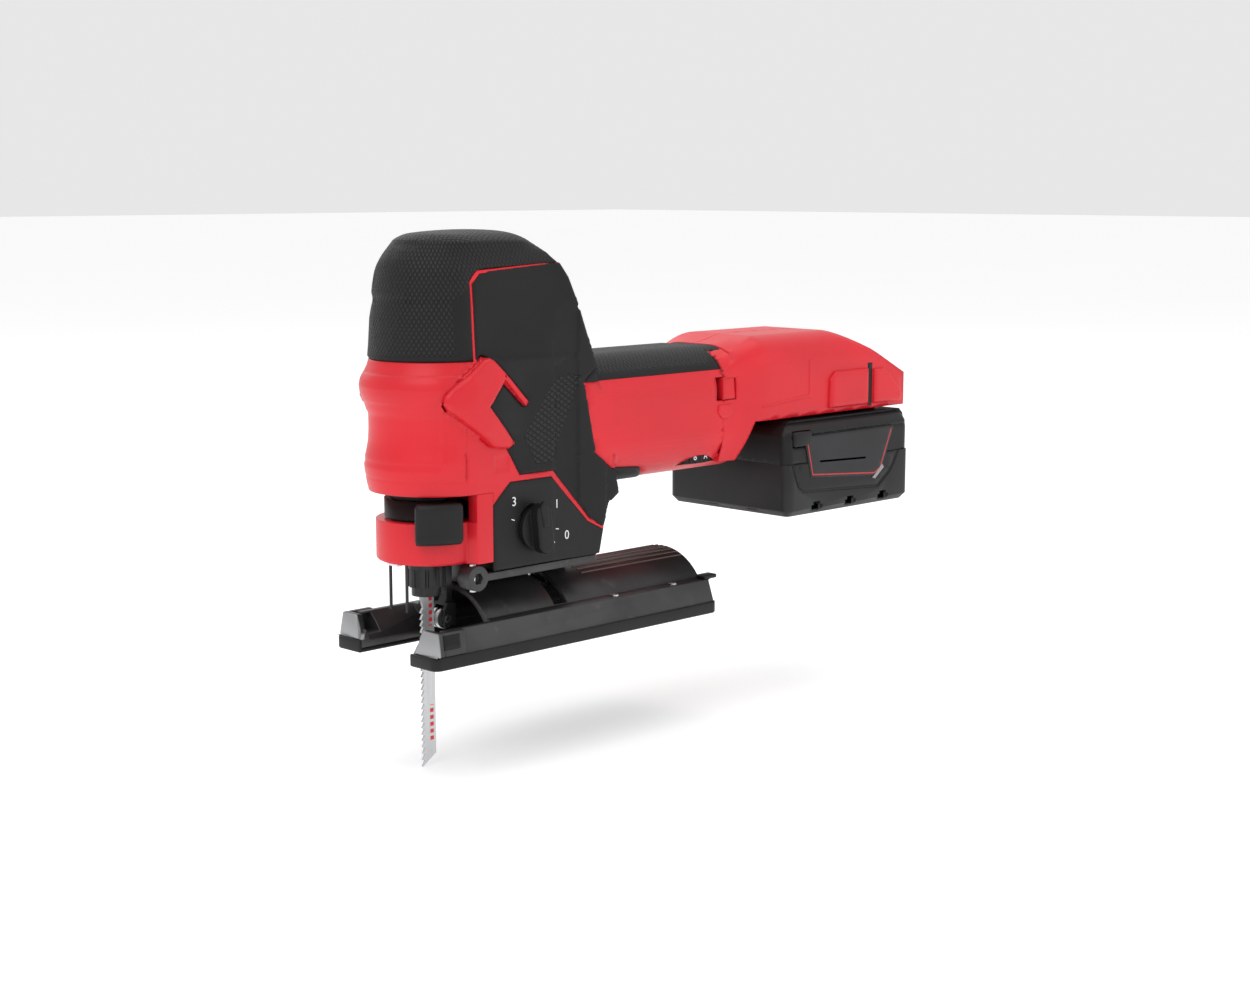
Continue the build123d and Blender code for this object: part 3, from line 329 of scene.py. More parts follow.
def rubber(name, region, pitch_u, pitch_v, depth):
    """Overmould with a moulded pattern inside a region and a smooth border round it."""
    finish = Finish(name)
    pattern, place = all_round(finish, pitch_u, pitch_v)
    inside = region(place)
    cloud = finish.noise(35.0, 4.0)
    grain = finish.noise(3000.0, 3.0)
    colour = settings().rubber
    tone = finish.mix(cloud.step(0.3, 0.7), rgba(colour, 0.9), rgba(colour, 1.3))
    # painted highlight: the raised diamond tops are painted lighter than the grooves, as if lit;
    # their slightly lower roughness is real
    diamond_tops_painted_highlight = finish.mix(pattern * inside, tone, rgba(colour, 2.2))
    finish.set(Base_Color=diamond_tops_painted_highlight, Roughness=0.5 + 0.1 * cloud - 0.08 * (pattern * inside),
               Specular_IOR_Level=0.22)
    edge_of_patch = (inside - 0.5).absolute().step(0.0, 0.5)
    finish.bump(pattern * inside * 0.8 + edge_of_patch * 0.5 + grain * 0.06, depth, 0.9, 0.0004)
    return finish.material


def head_patch(place):
    """Front, crown and cheeks of the head, inside a smooth border."""
    x, _, z = place
    over = (z - (152.0 + 0.75 * (x + 4.0))).maximum(z - (159.5 + 0.16 * (x - 6.0)))
    return ((-4.0 - x).maximum(over)).step(-0.4, 0.4) * (z - 129.5).step(-0.4, 0.4)


def thumb_patch(place):
    """The panel behind the lug on each cheek of the tower."""
    x, _, z = place
    low = z - 80.6
    ahead = (x - 30.6) * 0.88 + (z - 94.0) * 0.47
    lead = (x - 30.6) * 0.78 - (z - 94.0) * 0.62
    back = (63.9 - x) * 0.9 - (113.6 - z) * 0.44
    roof = 119.0 - z - (x - 58.0).absolute() * 0.2
    return (ahead.minimum(low).minimum(lead).minimum(back).minimum(roof)).step(0.0, 0.8)


def strip_patch(place):
    """The top of the barrel, inside a smooth border."""
    x, _, z = place
    return ((z - 116.8).minimum(x - 74.0).minimum(151.0 - x + (z - 116.0))).step(0.0, 0.8)


def lens_finish():
    """Clear lamp cover."""
    finish = Finish("lens")
    cloud = finish.noise(500.0)
    finish.set(Base_Color=finish.mix(cloud, (0.75, 0.78, 0.8, 1), (0.9, 0.92, 0.95, 1)),
               Roughness=0.12 + 0.1 * cloud)
    return finish.material


def printed(name, colour, other):
    """Thin print with a slightly uneven ink."""
    finish = Finish(name)
    ink = finish.noise(1500.0, 4.0).step(0.35, 0.6)
    finish.set(Base_Color=finish.mix(ink, other, colour), Roughness=0.42 + 0.1 * ink)
    return finish.material


def blade_finish():
    """Light coated blade with a red band by the shoe and a few red marks below."""
    finish = Finish("blade_steel")
    x, _, z = finish.axes()
    grain = finish.noise(1500.0, 3.0)
    streak = finish.streaks((2600.0, 2600.0, 60.0), 2.0)
    band = z.between(-1.5, 8.0, 0.3) * (x - 0.3).step(-0.2, 0.2)
    marks = (((z + 42.0) / 3.1).fraction() - 0.5).absolute().step(0.18, 0.24)
    column = marks * x.between(0.6, 2.6, 0.2)
    ink = band.maximum(column * z.between(-40.0, -24.0, 0.2))
    ink = ink.maximum(column * z.between(11.0, 24.0, 0.2))
    steel = finish.mix(streak, (0.5, 0.51, 0.52, 1), (0.66, 0.67, 0.68, 1))
    finish.set(Base_Color=finish.mix(ink, steel, (0.6, 0.02, 0.03, 1)),
               Metallic=0.75 - 0.75 * ink, Roughness=0.33 + 0.12 * grain)
    finish.bump(streak, 0.00003, 0.3, 0.0002)
    return finish.material


def shoe_finish():
    """Satin coating over a casting, light on the blocks at the front."""
    finish = Finish("shoe_metal")
    colour = settings().shoe
    x, _, z = finish.axes()
    cloud = finish.noise(40.0, 4.0)
    grain = finish.noise(1600.0, 4.0)
    rub = finish.noise(130.0, 5.0).step(0.6, 0.8)
    base = finish.mix(cloud.step(0.3, 0.7), rgba(colour, 0.85), rgba(colour, 1.2))
    bright = finish.mix(rub * 0.35, base, rgba(colour, 2.6))
    nose = (-20.4 - x).step(-0.4, 0.4) * (z - 5.6).step(-0.2, 0.2)
    finish.set(Base_Color=finish.mix(nose, bright, (0.33, 0.335, 0.345, 1)),
               Metallic=0.75, Roughness=0.34 + 0.1 * cloud + 0.05 * grain)
    finish.bump(grain, 0.00004, 0.35, 0.0005)
    return finish.material


def cell_finish():
    """Shrink wrap round the cells."""
    finish = Finish("cell_wrap")
    cloud = finish.noise(60.0)
    finish.set(Base_Color=finish.mix(cloud, (0.05, 0.18, 0.3, 1), (0.07, 0.24, 0.38, 1)),
               Roughness=0.35 + 0.1 * cloud)
    return finish.material


def board_finish():
    """Green board with lacquered tracks."""
    finish = Finish("board")
    y = finish.axes()[1]
    tracks = ((y / 2.5).fraction() - 0.5).absolute().step(0.18, 0.22)
    finish.set(Base_Color=finish.mix(tracks, (0.02, 0.16, 0.05, 1), (0.015, 0.09, 0.03, 1)),
               Roughness=0.3 + 0.1 * tracks)
    return finish.material


def make_finishes():
    """Every finish of the object, by the name of its material slot or piece."""
    rubber_colour = settings().rubber
    finishes.update({
        "red_plastic": red_plastic(),
        "black_plastic": plain_black("black_plastic", rubber_colour, 0.4, 0.1, 2400.0, 0.00004),
        "dial_plastic": plain_black("dial_plastic", rubber_colour, 0.44, 0.08, 1500.0, 0.00008),
        "grip_rubber": plain_black("grip_rubber", rubber_colour, 0.52, 0.1, 2800.0, 0.00006),
        "head_rubber": rubber("head_rubber", head_patch, 2.1, 3.2, 0.00055),
        "thumb_rubber": rubber("thumb_rubber", thumb_patch, 4.2, 2.6, 0.0006),
        "strip_rubber": rubber("strip_rubber", strip_patch, 3.6, 2.4, 0.00055),
        "pack_plastic": plain_black("pack_plastic", settings().tray, 0.42, 0.1, 1800.0, 0.00008),
        "shoe_metal": shoe_finish(),
        "steel": metal("steel", (0.56, 0.57, 0.58), 0.28, 2),
        "black_steel": metal("black_steel", (0.03, 0.03, 0.032), 0.38, None, 0.0002, 0.6),
        "blade_steel": blade_finish(),
        "aluminium": metal("aluminium", (0.6, 0.61, 0.62), 0.42),
        "bronze": metal("bronze", (0.55, 0.34, 0.14), 0.35),
        "copper": metal("copper", (0.72, 0.33, 0.16), 0.3, 1),
        "lens": lens_finish(),
        "cell_wrap": cell_finish(),
        "board": board_finish(),
        "label": plain_black("label", (0.018, 0.018, 0.02), 0.3, 0.08, 900.0, 0.00002),
        "gloss_black": plain_black("gloss_black", (0.004, 0.004, 0.004), 0.24, 0.06, 900.0, 0.00001),
        "grey_print": printed("grey_print", (0.3, 0.3, 0.3, 1), (0.22, 0.22, 0.22, 1)),
        "shoe_brown": metal("shoe_brown", (0.15, 0.105, 0.095), 0.4),
        "white_print": printed("white_print", (0.8, 0.8, 0.8, 1), (0.62, 0.62, 0.62, 1)),
        "red_print": printed("red_print", (0.6, 0.015, 0.025, 1), (0.45, 0.01, 0.02, 1)),
    })


# ------------------------------------------------------------ meshes
def frame_mesh(node):
    """A merged copy of a CAD node's mesh."""
    bm = bmesh.new()
    bm.from_mesh(frame["nodes"][node].data)
    bmesh.ops.remove_doubles(bm, verts=bm.verts, dist=MERGE)
    return bm


def fine(place):
    """The longest edge of a shaped region, the same at every place."""
    return FINE


def work_copy(node, longest):
    """A merged copy of a CAD node's mesh, cut finer where longest(place) asks for it."""
    bm = frame_mesh(node)
    for _ in range(7):
        cut = []
        for edge in bm.edges:
            middle = (edge.verts[0].co + edge.verts[1].co) / 2
            if edge.calc_length() > longest(middle):
                cut.append(edge)
        if not cut or len(bm.faces) > MOST_FACES:
            break
        bmesh.ops.subdivide_edges(bm, edges=cut, cuts=1)
        bmesh.ops.triangulate(bm, faces=[face for face in bm.faces if len(face.verts) > 3])
    return bm


def smooth(mesh, sharp):
    """Shade a mesh smooth, but sharp at edges of more than an angle in degrees."""
    mesh.shade_smooth()
    mesh.set_sharp_from_angle(angle=math.radians(sharp))


def dissolve_flats(bm):
    """Merge the faces that lie in one plane."""
    bmesh.ops.dissolve_limit(bm, angle_limit=math.radians(1.0), verts=bm.verts, edges=bm.edges)


def to_object(bm, name, finish, sharp=32.0):
    """Turn a bmesh into an object with one finish and smooth shading up to an angle."""
    mesh = bpy.data.meshes.new(name)
    bm.to_mesh(mesh)
    bm.free()
    smooth(mesh, sharp)
    mesh.materials.clear()
    mesh.materials.append(finishes[finish])
    made = bpy.data.objects.new(name, mesh)
    bpy.context.scene.collection.objects.link(made)
    return made


def settle(made, body, slot, *nodes):
    """Hang a finished piece on its body and hide the frame nodes it stands for; slot is not used."""
    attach(made, body)
    if nodes:
        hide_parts(*nodes)
    return made


def smooth_step(low, high, value):
    """0 below low, 1 above high, smooth between."""
    share = np.clip((value - low) / (high - low), 0.0, 1.0)
    return share * share * (3 - 2 * share)


# ------------------------------------------------------------ shape of the casing
NOSE_Z = [37, 66, 71, 74.5, 80.6, 85.5, 88, 92, 97, 104.5, 108, 110, 113, 116, 119, 121.5, 124.5,
          127, 133, 144, 148.5, 152, 155, 158, 162, 166.5, 170, 174, 179]
NOSE_R = [28.5, 28.2, 28.6, 29.4, 30.3, 30.5, 29.9, 29.1, 28.8, 28.8, 29.8, 30.8, 31.7, 32.0, 31.4,
          29.9, 28.4, 27.7, 27.1, 26.4, 25.6, 24.7, 25.3, 25.0, 24.4, 23.6, 22.4, 19.6, 14.0]
SIDE_Z = [37, 71, 82, 100, 110, 116, 122, 127, 140, 152, 160, 166, 174, 179]
SIDE_Y = [28.5, 28.5, 28.9, 28.7, 29.1, 29.5, 28.7, 28.2, 27.4, 26.8, 26.2, 25.0, 22.0, 21.5]


TURNS = np.radians(np.arange(0.0, 91.0, 5.0))
LEVELS = np.arange(68.0, 179.0, 1.0)
frame_reach = {}


def measure_frame():
    """How far the frame's tower reaches from the nose line, by height and by turn, in mm."""
    skin = []
    for node in ("head_grip", "housing_left", "nose_cover", "side_grip_left"):
        skin.append(frame["nodes"][node])
    tree = Surface(skin).tree
    table = np.zeros((len(LEVELS), len(TURNS)))
    for row, z in enumerate(LEVELS):
        for column, turn in enumerate(TURNS):
            away = Vector((-math.cos(turn), -math.sin(turn), 0.0))
            centre = Vector((NOSE_X * MM, 0.0, z * MM))
            hit = tree.ray_cast(centre + away * 0.1, -away)[0]
            table[row, column] = (hit - centre).length / MM if hit else TOWER_R
    frame_reach["table"] = table


def reach_at(z, turn):
    """The frame's own reach at heights z, in mm, and turns from straight ahead."""
    table = frame_reach["table"]
    row = np.clip(z - LEVELS[0], 0.0, len(LEVELS) - 1.001)
    column = np.clip(turn / math.radians(5.0), 0.0, len(TURNS) - 1.001)
    low_row, low_column = row.astype(int), column.astype(int)
    up, on = row - low_row, column - low_column
    low = table[low_row, low_column] * (1 - on) + table[low_row, low_column + 1] * on
    high = table[low_row + 1, low_column] * (1 - on) + table[low_row + 1, low_column + 1] * on
    return low * (1 - up) + high * up


def shape_casing(points):
    """Swell and waist the tower: bands round the nose and a head that narrows upwards."""
    mm = points * PER_METRE
    x, y, z = mm[:, 0], mm[:, 1], mm[:, 2]
    reach = np.hypot(NOSE_X - x, y)
    nose = x < NOSE_X
    turn = np.where(nose, np.arctan2(np.abs(y), np.maximum(NOSE_X - x, 1e-6)), math.pi / 2)
    own = reach_at(z, turn)
    front = smooth_step(1.45, 0.9, turn)
    wanted = np.interp(z, NOSE_Z, NOSE_R) * front + np.interp(z, SIDE_Z, SIDE_Y) * (1 - front)
    measure = np.where(nose, reach, np.abs(y))
    outer = smooth_step(own - 7.5, own - 2.5, measure)
    whole = smooth_step(156.0, 163.0, z)
    growth = (wanted - own) * smooth_step(0.0, 4.0, z - 67.0)
    shift = growth * (outer * (1 - whole) + whole * measure / own)
    high = smooth_step(118.0, 136.0, z)
    fade = high * smooth_step(66.0, 34.0, x) + (1 - high) * smooth_step(34.0, 14.0, x)
    mm[:, 0] += np.where(nose, shift * (x - NOSE_X) / np.maximum(reach, 1e-6), 0.0)
    mm[:, 1] += np.where(nose, shift * y / np.maximum(reach, 1e-6), shift * fade * np.sign(y))
    return flare(mm) / PER_METRE


def flare(mm):
    """Run the barrel smoothly into the wider rear housing and the tower's cheeks into the barrel."""
    x, y, z = mm[:, 0], mm[:, 1], mm[:, 2]
    side = np.maximum(np.abs(y) - 9.0, 0.0)
    over = np.maximum(np.abs(z - 95.0) - 9.0, 0.0)
    out = np.hypot(side, over)
    behind = np.where(x > 157.5, smooth_step(188.0, 158.0, x), 0.0)
    pull = np.maximum(out - 20.0, 0.0) * behind / np.maximum(out, 1e-6)
    mm[:, 1] -= np.sign(y) * side * pull
    mm[:, 2] -= np.where(z > 95.0, over * pull, 0.0)
    cheek = (x > 49.0) & (x < 80.0) & (np.abs(y) > 28.4) & (np.abs(y) < 29.3)
    flush = TOWER_R + 0.5 * smooth_step(52.0, 78.0, x)
    mm[:, 1] = np.where(cheek, np.sign(y) * flush, mm[:, 1])
    return mm


def flared(points):
    """flare() for points in metres."""
    return flare(points * PER_METRE) / PER_METRE


def ease_crown(bm, rounds=70):
    """Round the edges of the head's crown."""
    points = read_points(bm)
    pairs = np.array([[vert.index for vert in edge.verts] for edge in bm.edges])
    count = np.zeros(len(points))
    np.add.at(count, pairs.ravel(), 1.0)
    weight = (0.6 * smooth_step(0.161, 0.170, points[:, 2])
              * smooth_step(0.050, 0.042, points[:, 0]))[:, None]
    for _ in range(rounds):
        total = np.zeros_like(points)
        np.add.at(total, pairs[:, 0], points[pairs[:, 1]])
        np.add.at(total, pairs[:, 1], points[pairs[:, 0]])
        points = points + weight * (total / count[:, None] - points)
    dome = ((points[:, 1] / 0.022) ** 2 + ((points[:, 0] - 0.022) / 0.036) ** 2) * 0.0026
    points[:, 2] += (0.0014 - dome) * smooth_step(0.164, 0.177, points[:, 2])
    write_points(bm, points)


def recess(points):
    """Shallow blank plates sunk into the nose and below the lugs."""
    mm = points * PER_METRE
    x, y, z = mm[:, 0], mm[:, 1], mm[:, 2]
    reach = np.hypot(NOSE_X - x, y)
    along = np.where(x < NOSE_X, np.arctan2(np.abs(y), np.maximum(NOSE_X - x, 1e-6)) * TOWER_R,
                     TOWER_R * math.pi / 2 + x - NOSE_X)
    outside = (reach > 26.5) | (x > NOSE_X)
    plate = (smooth_step(28.0, 26.6, along) * smooth_step(82.2, 83.4, z)
             * smooth_step(105.2, 104.0, z))
    corner = TOWER_R * math.pi / 2 - NOSE_X
    tag = (smooth_step(corner + 14.6, corner + 15.4, along)
           * smooth_step(corner + 23.2, corner + 22.4, along)
           * smooth_step(79.4, 80.2, z) * smooth_step(86.6, 85.8, z))
    depth = np.where(outside & (np.abs(y) > 26.0), 0.6 * tag, 0.0)
    depth = np.where(outside & (x < 12), depth + 0.55 * plate, depth)
    away_x = np.where(x < NOSE_X, (x - NOSE_X) / np.maximum(reach, 1e-6), 0.0)
    away_y = np.where(x < NOSE_X, y / np.maximum(reach, 1e-6), np.sign(y))
    mm[:, 0] -= depth * away_x
    mm[:, 1] -= depth * away_y
    return mm / PER_METRE


def heart(points):
    """The line inside the body that each point of the casing faces away from."""
    x, y, z = points[:, 0], points[:, 1], points[:, 2]
    tower = x < 0.075
    return np.stack([np.where(tower, np.clip(x, 0.006, 0.045), x), np.zeros(len(x)),
                     np.where(tower, np.clip(z, 0.045, 0.150), 0.097)], 1)


def read_points(bm):
    """All the points of a bmesh."""
    return np.array([vert.co[:] for vert in bm.verts], float).reshape(-1, 3)


def write_points(bm, points):
    """Put the points of a bmesh where they should be."""
    for vert, place in zip(bm.verts, points):
        vert.co = place


def pillow(bm, lift, round_over, sink):
    """Raise the outer skin of an overmould, rounded down to a seam at its outline."""
    bm.normal_update()
    points = read_points(bm)
    centres = np.array([face.calc_center_median()[:] for face in bm.faces])
    normals = np.array([face.normal[:] for face in bm.faces])
    away = centres - heart(centres)
    away /= np.maximum(np.linalg.norm(away, axis=1), 1e-9)[:, None]
    facing_out = (normals * away).sum(1) > 0.45
    areas = np.array([face.calc_area() for face in bm.faces])
    outer, rim = set(), []
    for vert in bm.verts:
        out_faces = [face.index for face in vert.link_faces if facing_out[face.index]]
        if not out_faces:
            continue
        outer.add(vert.index)
        mean = (normals[out_faces] * areas[out_faces][:, None]).sum(0)
        mean /= max(np.linalg.norm(mean), 1e-12)
        if any(areas[face.index] > 1e-9 and normals[face.index] @ mean < 0.5
               for face in vert.link_faces if not facing_out[face.index]):
            rim.append(vert.index)
    if not rim:
        return
    tree = KDTree(len(rim))
    for index in rim:
        tree.insert(Vector(points[index]), index)
    tree.balance()
    bm.verts.ensure_lookup_table()
    for index in outer:
        vert = bm.verts[index]
        far = tree.find(vert.co)[2]
        share = min(1.0, far / round_over)
        curve = math.sqrt(1 - (1 - share) ** 2)
        direction = Vector((0.0, 0.0, 0.0))
        for face in vert.link_faces:
            if facing_out[face.index]:
                direction += face.normal * face.calc_area()
        if direction.length > 0:
            points[index] += np.array(direction.normalized()) * (curve * (lift + sink) - sink)
    write_points(bm, points)


def soft_skin(node, finish, slot, lift, round_over, sink=0.00035):
    """A region of the casing or its overmould, shaped, rounded and hung."""
    bm = work_copy(node, fine)
    bm.faces.ensure_lookup_table()
    bm.verts.index_update()
    bm.faces.index_update()
    write_points(bm, flared(read_points(bm)))
    pillow(bm, lift, round_over, sink)
    write_points(bm, shape_casing(read_points(bm)))
    if node == "head_grip":
        ease_crown(bm)
    return settle(to_object(bm, "Casing_" + node, finish), "saw_body", slot, node)


def hard_skin(node, longest):
    """A red region of the casing, shaped and hung."""
    bm = work_copy(node, longest)
    write_points(bm, recess(shape_casing(read_points(bm))))
    return settle(to_object(bm, "Casing_" + node, "red_plastic"), "saw_body", "red_plastic", node)


# ------------------------------------------------------------ plates that follow the casing
class Surface:
    """Casing surfaces to lay plates, lines and figures on."""

    def __init__(self, objects):
        corners, faces = [], []
        for made in objects:
            offset = len(corners)
            corners.extend(vert.co.copy() for vert in made.data.vertices)
            faces.extend([index + offset for index in face.vertices] for face in made.data.polygons)
        self.tree = BVHTree.FromPolygons(corners, faces)

    def side(self, x, z, sign=-1, lift=0.0):
        """The point of the left (-1) or right side at x, z in mm, lifted off it."""
        start = Vector((x * MM, sign * 0.1, z * MM))
        hit, normal, _, _ = self.tree.ray_cast(start, Vector((0, -sign, 0)))
        if hit is None:
            raise RuntimeError(f"no casing at {x}, {z}")
        if normal.y * sign < 0.3:
            normal = Vector((0, sign, 0))
        return hit + normal * lift

    def above(self, x, y, lift=0.0):
        """The point on top at x, y in mm, lifted off it."""
        hit, normal, _, _ = self.tree.ray_cast(Vector((x * MM, y * MM, 0.3)), Vector((0, 0, -1)))
        if hit is None:
            raise RuntimeError(f"no casing under {x}, {y}")
        return hit + normal * lift


def densify(outline, step=1.2):
    """Points along a closed outline no further apart than step."""
    dense = []
    for first, second in zip(outline, outline[1:] + outline[:1]):
        span = math.dist(first, second)
        parts = max(1, int(math.ceil(span / step)))
        for part in range(parts):
            share = part / parts
            dense.append((first[0] + (second[0] - first[0]) * share,
                          first[1] + (second[1] - first[1]) * share))
    return dense


def inward(outline, amount):
    """An outline moved in by amount, wound counter-clockwise."""
    moved = []
    count = len(outline)
    for index in range(count):
        back, here, on = outline[index - 1], outline[index], outline[(index + 1) % count]
        before = Vector((here[0] - back[0], here[1] - back[1])).normalized()
        after = Vector((on[0] - here[0], on[1] - here[1])).normalized()
        normal = Vector((-before.y - after.y, before.x + after.x))
        if normal.length < 1e-6:
            normal = Vector((-before.y, before.x))
        normal.normalize()
        spread = max(0.35, normal.dot(Vector((-before.y, before.x))))
        moved.append((here[0] + normal.x * amount / spread, here[1] + normal.y * amount / spread))
    return moved


def area_of(outline):
    """Signed area of an outline."""
    return sum(a[0] * b[1] - b[0] * a[1] for a, b in zip(outline, outline[1:] + outline[:1])) / 2


def plate(place, outline, base, lift, chamfer, step=1.6):
    """A bmesh plate over an outline: place(u, v, height) puts each point, heights in mm."""
    if area_of(outline) < 0:
        outline = outline[::-1]
    rim = densify(outline, step)
    rings = [(rim, base), (rim, lift - chamfer * 0.8),
             (inward(rim, chamfer * 0.35), lift - chamfer * 0.25), (inward(rim, chamfer), lift)]
    bm = bmesh.new()
    loops = []
    for ring, height in rings:
        loops.append([bm.verts.new(place(u, v, height * MM)) for u, v in ring])
    for lower, upper in zip(loops, loops[1:]):
        for index in range(len(rim)):
            after = (index + 1) % len(rim)
            bm.faces.new((lower[index], lower[after], upper[after], upper[index]))
    top = rings[-1][0]
    low_u, high_u = min(u for u, v in top), max(u for u, v in top)
    low_v, high_v = min(v for u, v in top), max(v for u, v in top)
    points = [Vector(point) for point in top]
    edges = [(index, (index + 1) % len(top)) for index in range(len(top))]
    spacing = step * 1.25
    for row in range(1, int((high_v - low_v) / spacing) + 1):
        for column in range(1, int((high_u - low_u) / spacing) + 1):
            points.append(Vector((low_u + column * spacing, low_v + row * spacing)))
    made, _, faces, origins, _, _ = delaunay_2d_cdt(points, edges, [list(range(len(top)))], 1, 1e-6)
    lookup = []
    for index, point in enumerate(made):
        rim_index = next((item for item in origins[index] if item < len(top)), None)
        lookup.append(loops[-1][rim_index] if rim_index is not None
                      else bm.verts.new(place(point.x, point.y, lift * MM)))
    for face in faces:
        try:
            bm.faces.new([lookup[index] for index in face])
        except ValueError:
            continue
    bm.verts.index_update()
    for vert in [vert for vert in bm.verts if not vert.link_faces]:
        bm.verts.remove(vert)
    bmesh.ops.recalc_face_normals(bm, faces=bm.faces)
    return bm


def ribbon(line, width):
    """The outline of a line of some width, in mm."""
    left, right = [], []
    for index, here in enumerate(line):
        back = line[max(index - 1, 0)]
        on = line[min(index + 1, len(line) - 1)]
        before = Vector((here[0] - back[0], here[1] - back[1]))
        after = Vector((on[0] - here[0], on[1] - here[1]))
        before = (before if before.length else after).normalized()
        after = (after if after.length else before).normalized()
        normal = Vector((-before.y - after.y, before.x + after.x)).normalized()
        spread = max(0.5, normal.dot(Vector((-before.y, before.x))))
        offset = normal * (width / 2 / spread)
        left.append((here[0] + offset.x, here[1] + offset.y))
        right.append((here[0] - offset.x, here[1] - offset.y))
    return left + right[::-1]


def join_all(parts):
    """One bmesh out of several."""
    whole = bmesh.new()
    for part in parts:
        mesh = bpy.data.meshes.new("part")
        part.to_mesh(mesh)
        part.free()
        whole.from_mesh(mesh)
        bpy.data.meshes.remove(mesh)
    return whole


def figure(text, size, place, lift):
    """A figure laid on a surface: place(u, v, height), centred on u, v = 0, in mm."""
    curve = bpy.data.curves.new("figure", "FONT")
    curve.body = text
    curve.size = size
    curve.align_x = "CENTER"
    curve.align_y = "CENTER"
    curve.resolution_u = 4
    holder = bpy.data.objects.new("figure", curve)
    bpy.context.scene.collection.objects.link(holder)
    bpy.context.view_layer.update()
    mesh = bpy.data.meshes.new_from_object(holder.evaluated_get(
        bpy.context.evaluated_depsgraph_get()))
    bpy.data.objects.remove(holder)
    bm = bmesh.new()
    bm.from_mesh(mesh)
    bpy.data.meshes.remove(mesh)
    made = bmesh.ops.extrude_face_region(bm, geom=bm.faces[:])
    raised = {item for item in made["geom"] if isinstance(item, bmesh.types.BMVert)}
    for vert in bm.verts:
        height = lift if vert in raised else -0.1
        vert.co = place(vert.co.x, vert.co.y, height * MM)
    bmesh.ops.recalc_face_normals(bm, faces=bm.faces)
    return bm


surface = {}


def on_side(sign=-1):
    """Places points of a plate on one side of the casing."""
    return lambda u, v, height: surface["casing"].side(u, v, sign, height)


# ------------------------------------------------------------ operators
class Piece(bpy.types.Operator):
    """Shared part of the operators: make() does the work."""
    bl_options = {"REGISTER", "UNDO"}

    def execute(self, context):
        """Make the pieces."""
        self.make(context)
        return {"FINISHED"}


class JIGSAW_OT_stage(Piece):
    """Floor, camera and studio light"""
    bl_idname = "jigsaw.stage"
    bl_label = "Stage"

    def make(self, context):
        """Build the stage round the object."""
        scene = context.scene
        data = bpy.data.cameras.new("Camera")
        data.lens = 58.56
        data.sensor_width = 36.0
        data.clip_start = 0.01
        camera = bpy.data.objects.new("Camera", data)
        camera.location = (-0.5477, -0.6700, 0.2000)
        ahead = Vector((0.6981, 0.6993, -0.1535))
        camera.rotation_euler = ahead.to_track_quat("-Z", "Y").to_euler()
        scene.collection.objects.link(camera)
        scene.camera = camera
        floor_level = cad_bounds[0][2] - 0.0002
        bm = bmesh.new()
        bmesh.ops.create_grid(bm, x_segments=24, y_segments=24, size=14.0)
        for vert in bm.verts:
            vert.co.z = floor_level
        mesh = bpy.data.meshes.new("Floor")
        bm.to_mesh(mesh)
        bm.free()
        floor = bpy.data.objects.new("Floor", mesh)
        scene.collection.objects.link(floor)
        finish = Finish("floor")
        cloud = finish.noise(2.0, 2.0)
        finish.set(Base_Color=finish.mix(cloud, (0.92, 0.92, 0.92, 1), (0.95, 0.95, 0.95, 1)),
                   Roughness=0.8 + 0.1 * cloud, Emission_Color=(1.0, 1.0, 1.0, 1.0),
                   Emission_Strength=0.2)
        mesh.materials.append(finish.material)
        for name, place, width, height, watts in (
                ("Key", (-1.0, -0.55, 1.25), 1.1, 1.1, 7.5),
                ("Top", (0.25, 0.15, 1.7), 1.8, 1.4, 10.0),
                ("Fill", (0.9, -1.5, 0.7), 1.4, 1.0, 2.6),
                ("Back", (0.5, 1.5, 0.9), 1.6, 1.0, 3.5)):
            lamp = bpy.data.lights.new(name, "AREA")
            lamp.shape = "RECTANGLE"
            lamp.size = width
            lamp.size_y = height
            lamp.energy = watts
            made = bpy.data.objects.new(name, lamp)
            made.location = place
            made.rotation_euler = (Vector((0.1, 0.0, 0.07)) - Vector(place)).to_track_quat(
                "-Z", "Y").to_euler()
            scene.collection.objects.link(made)
        world = bpy.data.worlds.new("Studio")
        world.use_nodes = True
        world.node_tree.nodes["Background"].inputs[0].default_value = (1.0, 1.0, 1.0, 1.0)
        world.node_tree.nodes["Background"].inputs[1].default_value = 0.8
        scene.world = world
        scene.view_settings.view_transform = "Standard"


class JIGSAW_OT_frame(Piece):
    """Finishes for the pieces that keep their shape from the frame"""
    bl_idname = "jigsaw.frame"
    bl_label = "Frame finishes"

    def make(self, context):
        """Make the finishes and put them on the frame's pieces."""
        make_finishes()
        slot_of = {}
        for entry in frame["record"]["subparts"]:
            slot_of[entry["node"]] = entry["material_slot"]
        for name, item in frame["nodes"].items():
            item.data.materials.clear()
            item.data.materials.append(finishes[slot_of[name]])


class JIGSAW_OT_casing(Piece):
    """Red casing, overmoulds and base"""
    bl_idname = "jigsaw.casing"
    bl_label = "Casing"

    def make(self, context):
        """Shape and round every region of the body."""
        lift = context.scene.jigsaw.grip_lift
        measure_frame()

        def casing_cut(place):
            near = place.x < 0.034 and 0.066 < place.z < 0.132 and abs(place.y) > 0.012
            if near or place.x < -0.01:
                return 0.0013
            return 0.0022 if 0.150 < place.x < 0.190 else 0.006

        made = []
        for side in ("left", "right"):
            made.append(hard_skin("housing_" + side, casing_cut))
            made.append(soft_skin("side_grip_" + side, "thumb_rubber", "grip_rubber", lift, 0.0016))
        made.append(soft_skin("head_grip", "head_rubber", "grip_rubber", lift, 0.0018))
        made.append(soft_skin("barrel_grip", "strip_rubber", "grip_rubber", lift, 0.0016))
        made.append(hard_skin("nose_cover", fine))
        made.append(soft_skin("base_case", "dial_plastic", "black_plastic", 0.0002, 0.0012, 0.0002))
        surface["pieces"] = made
        surface["casing"] = Surface(made)


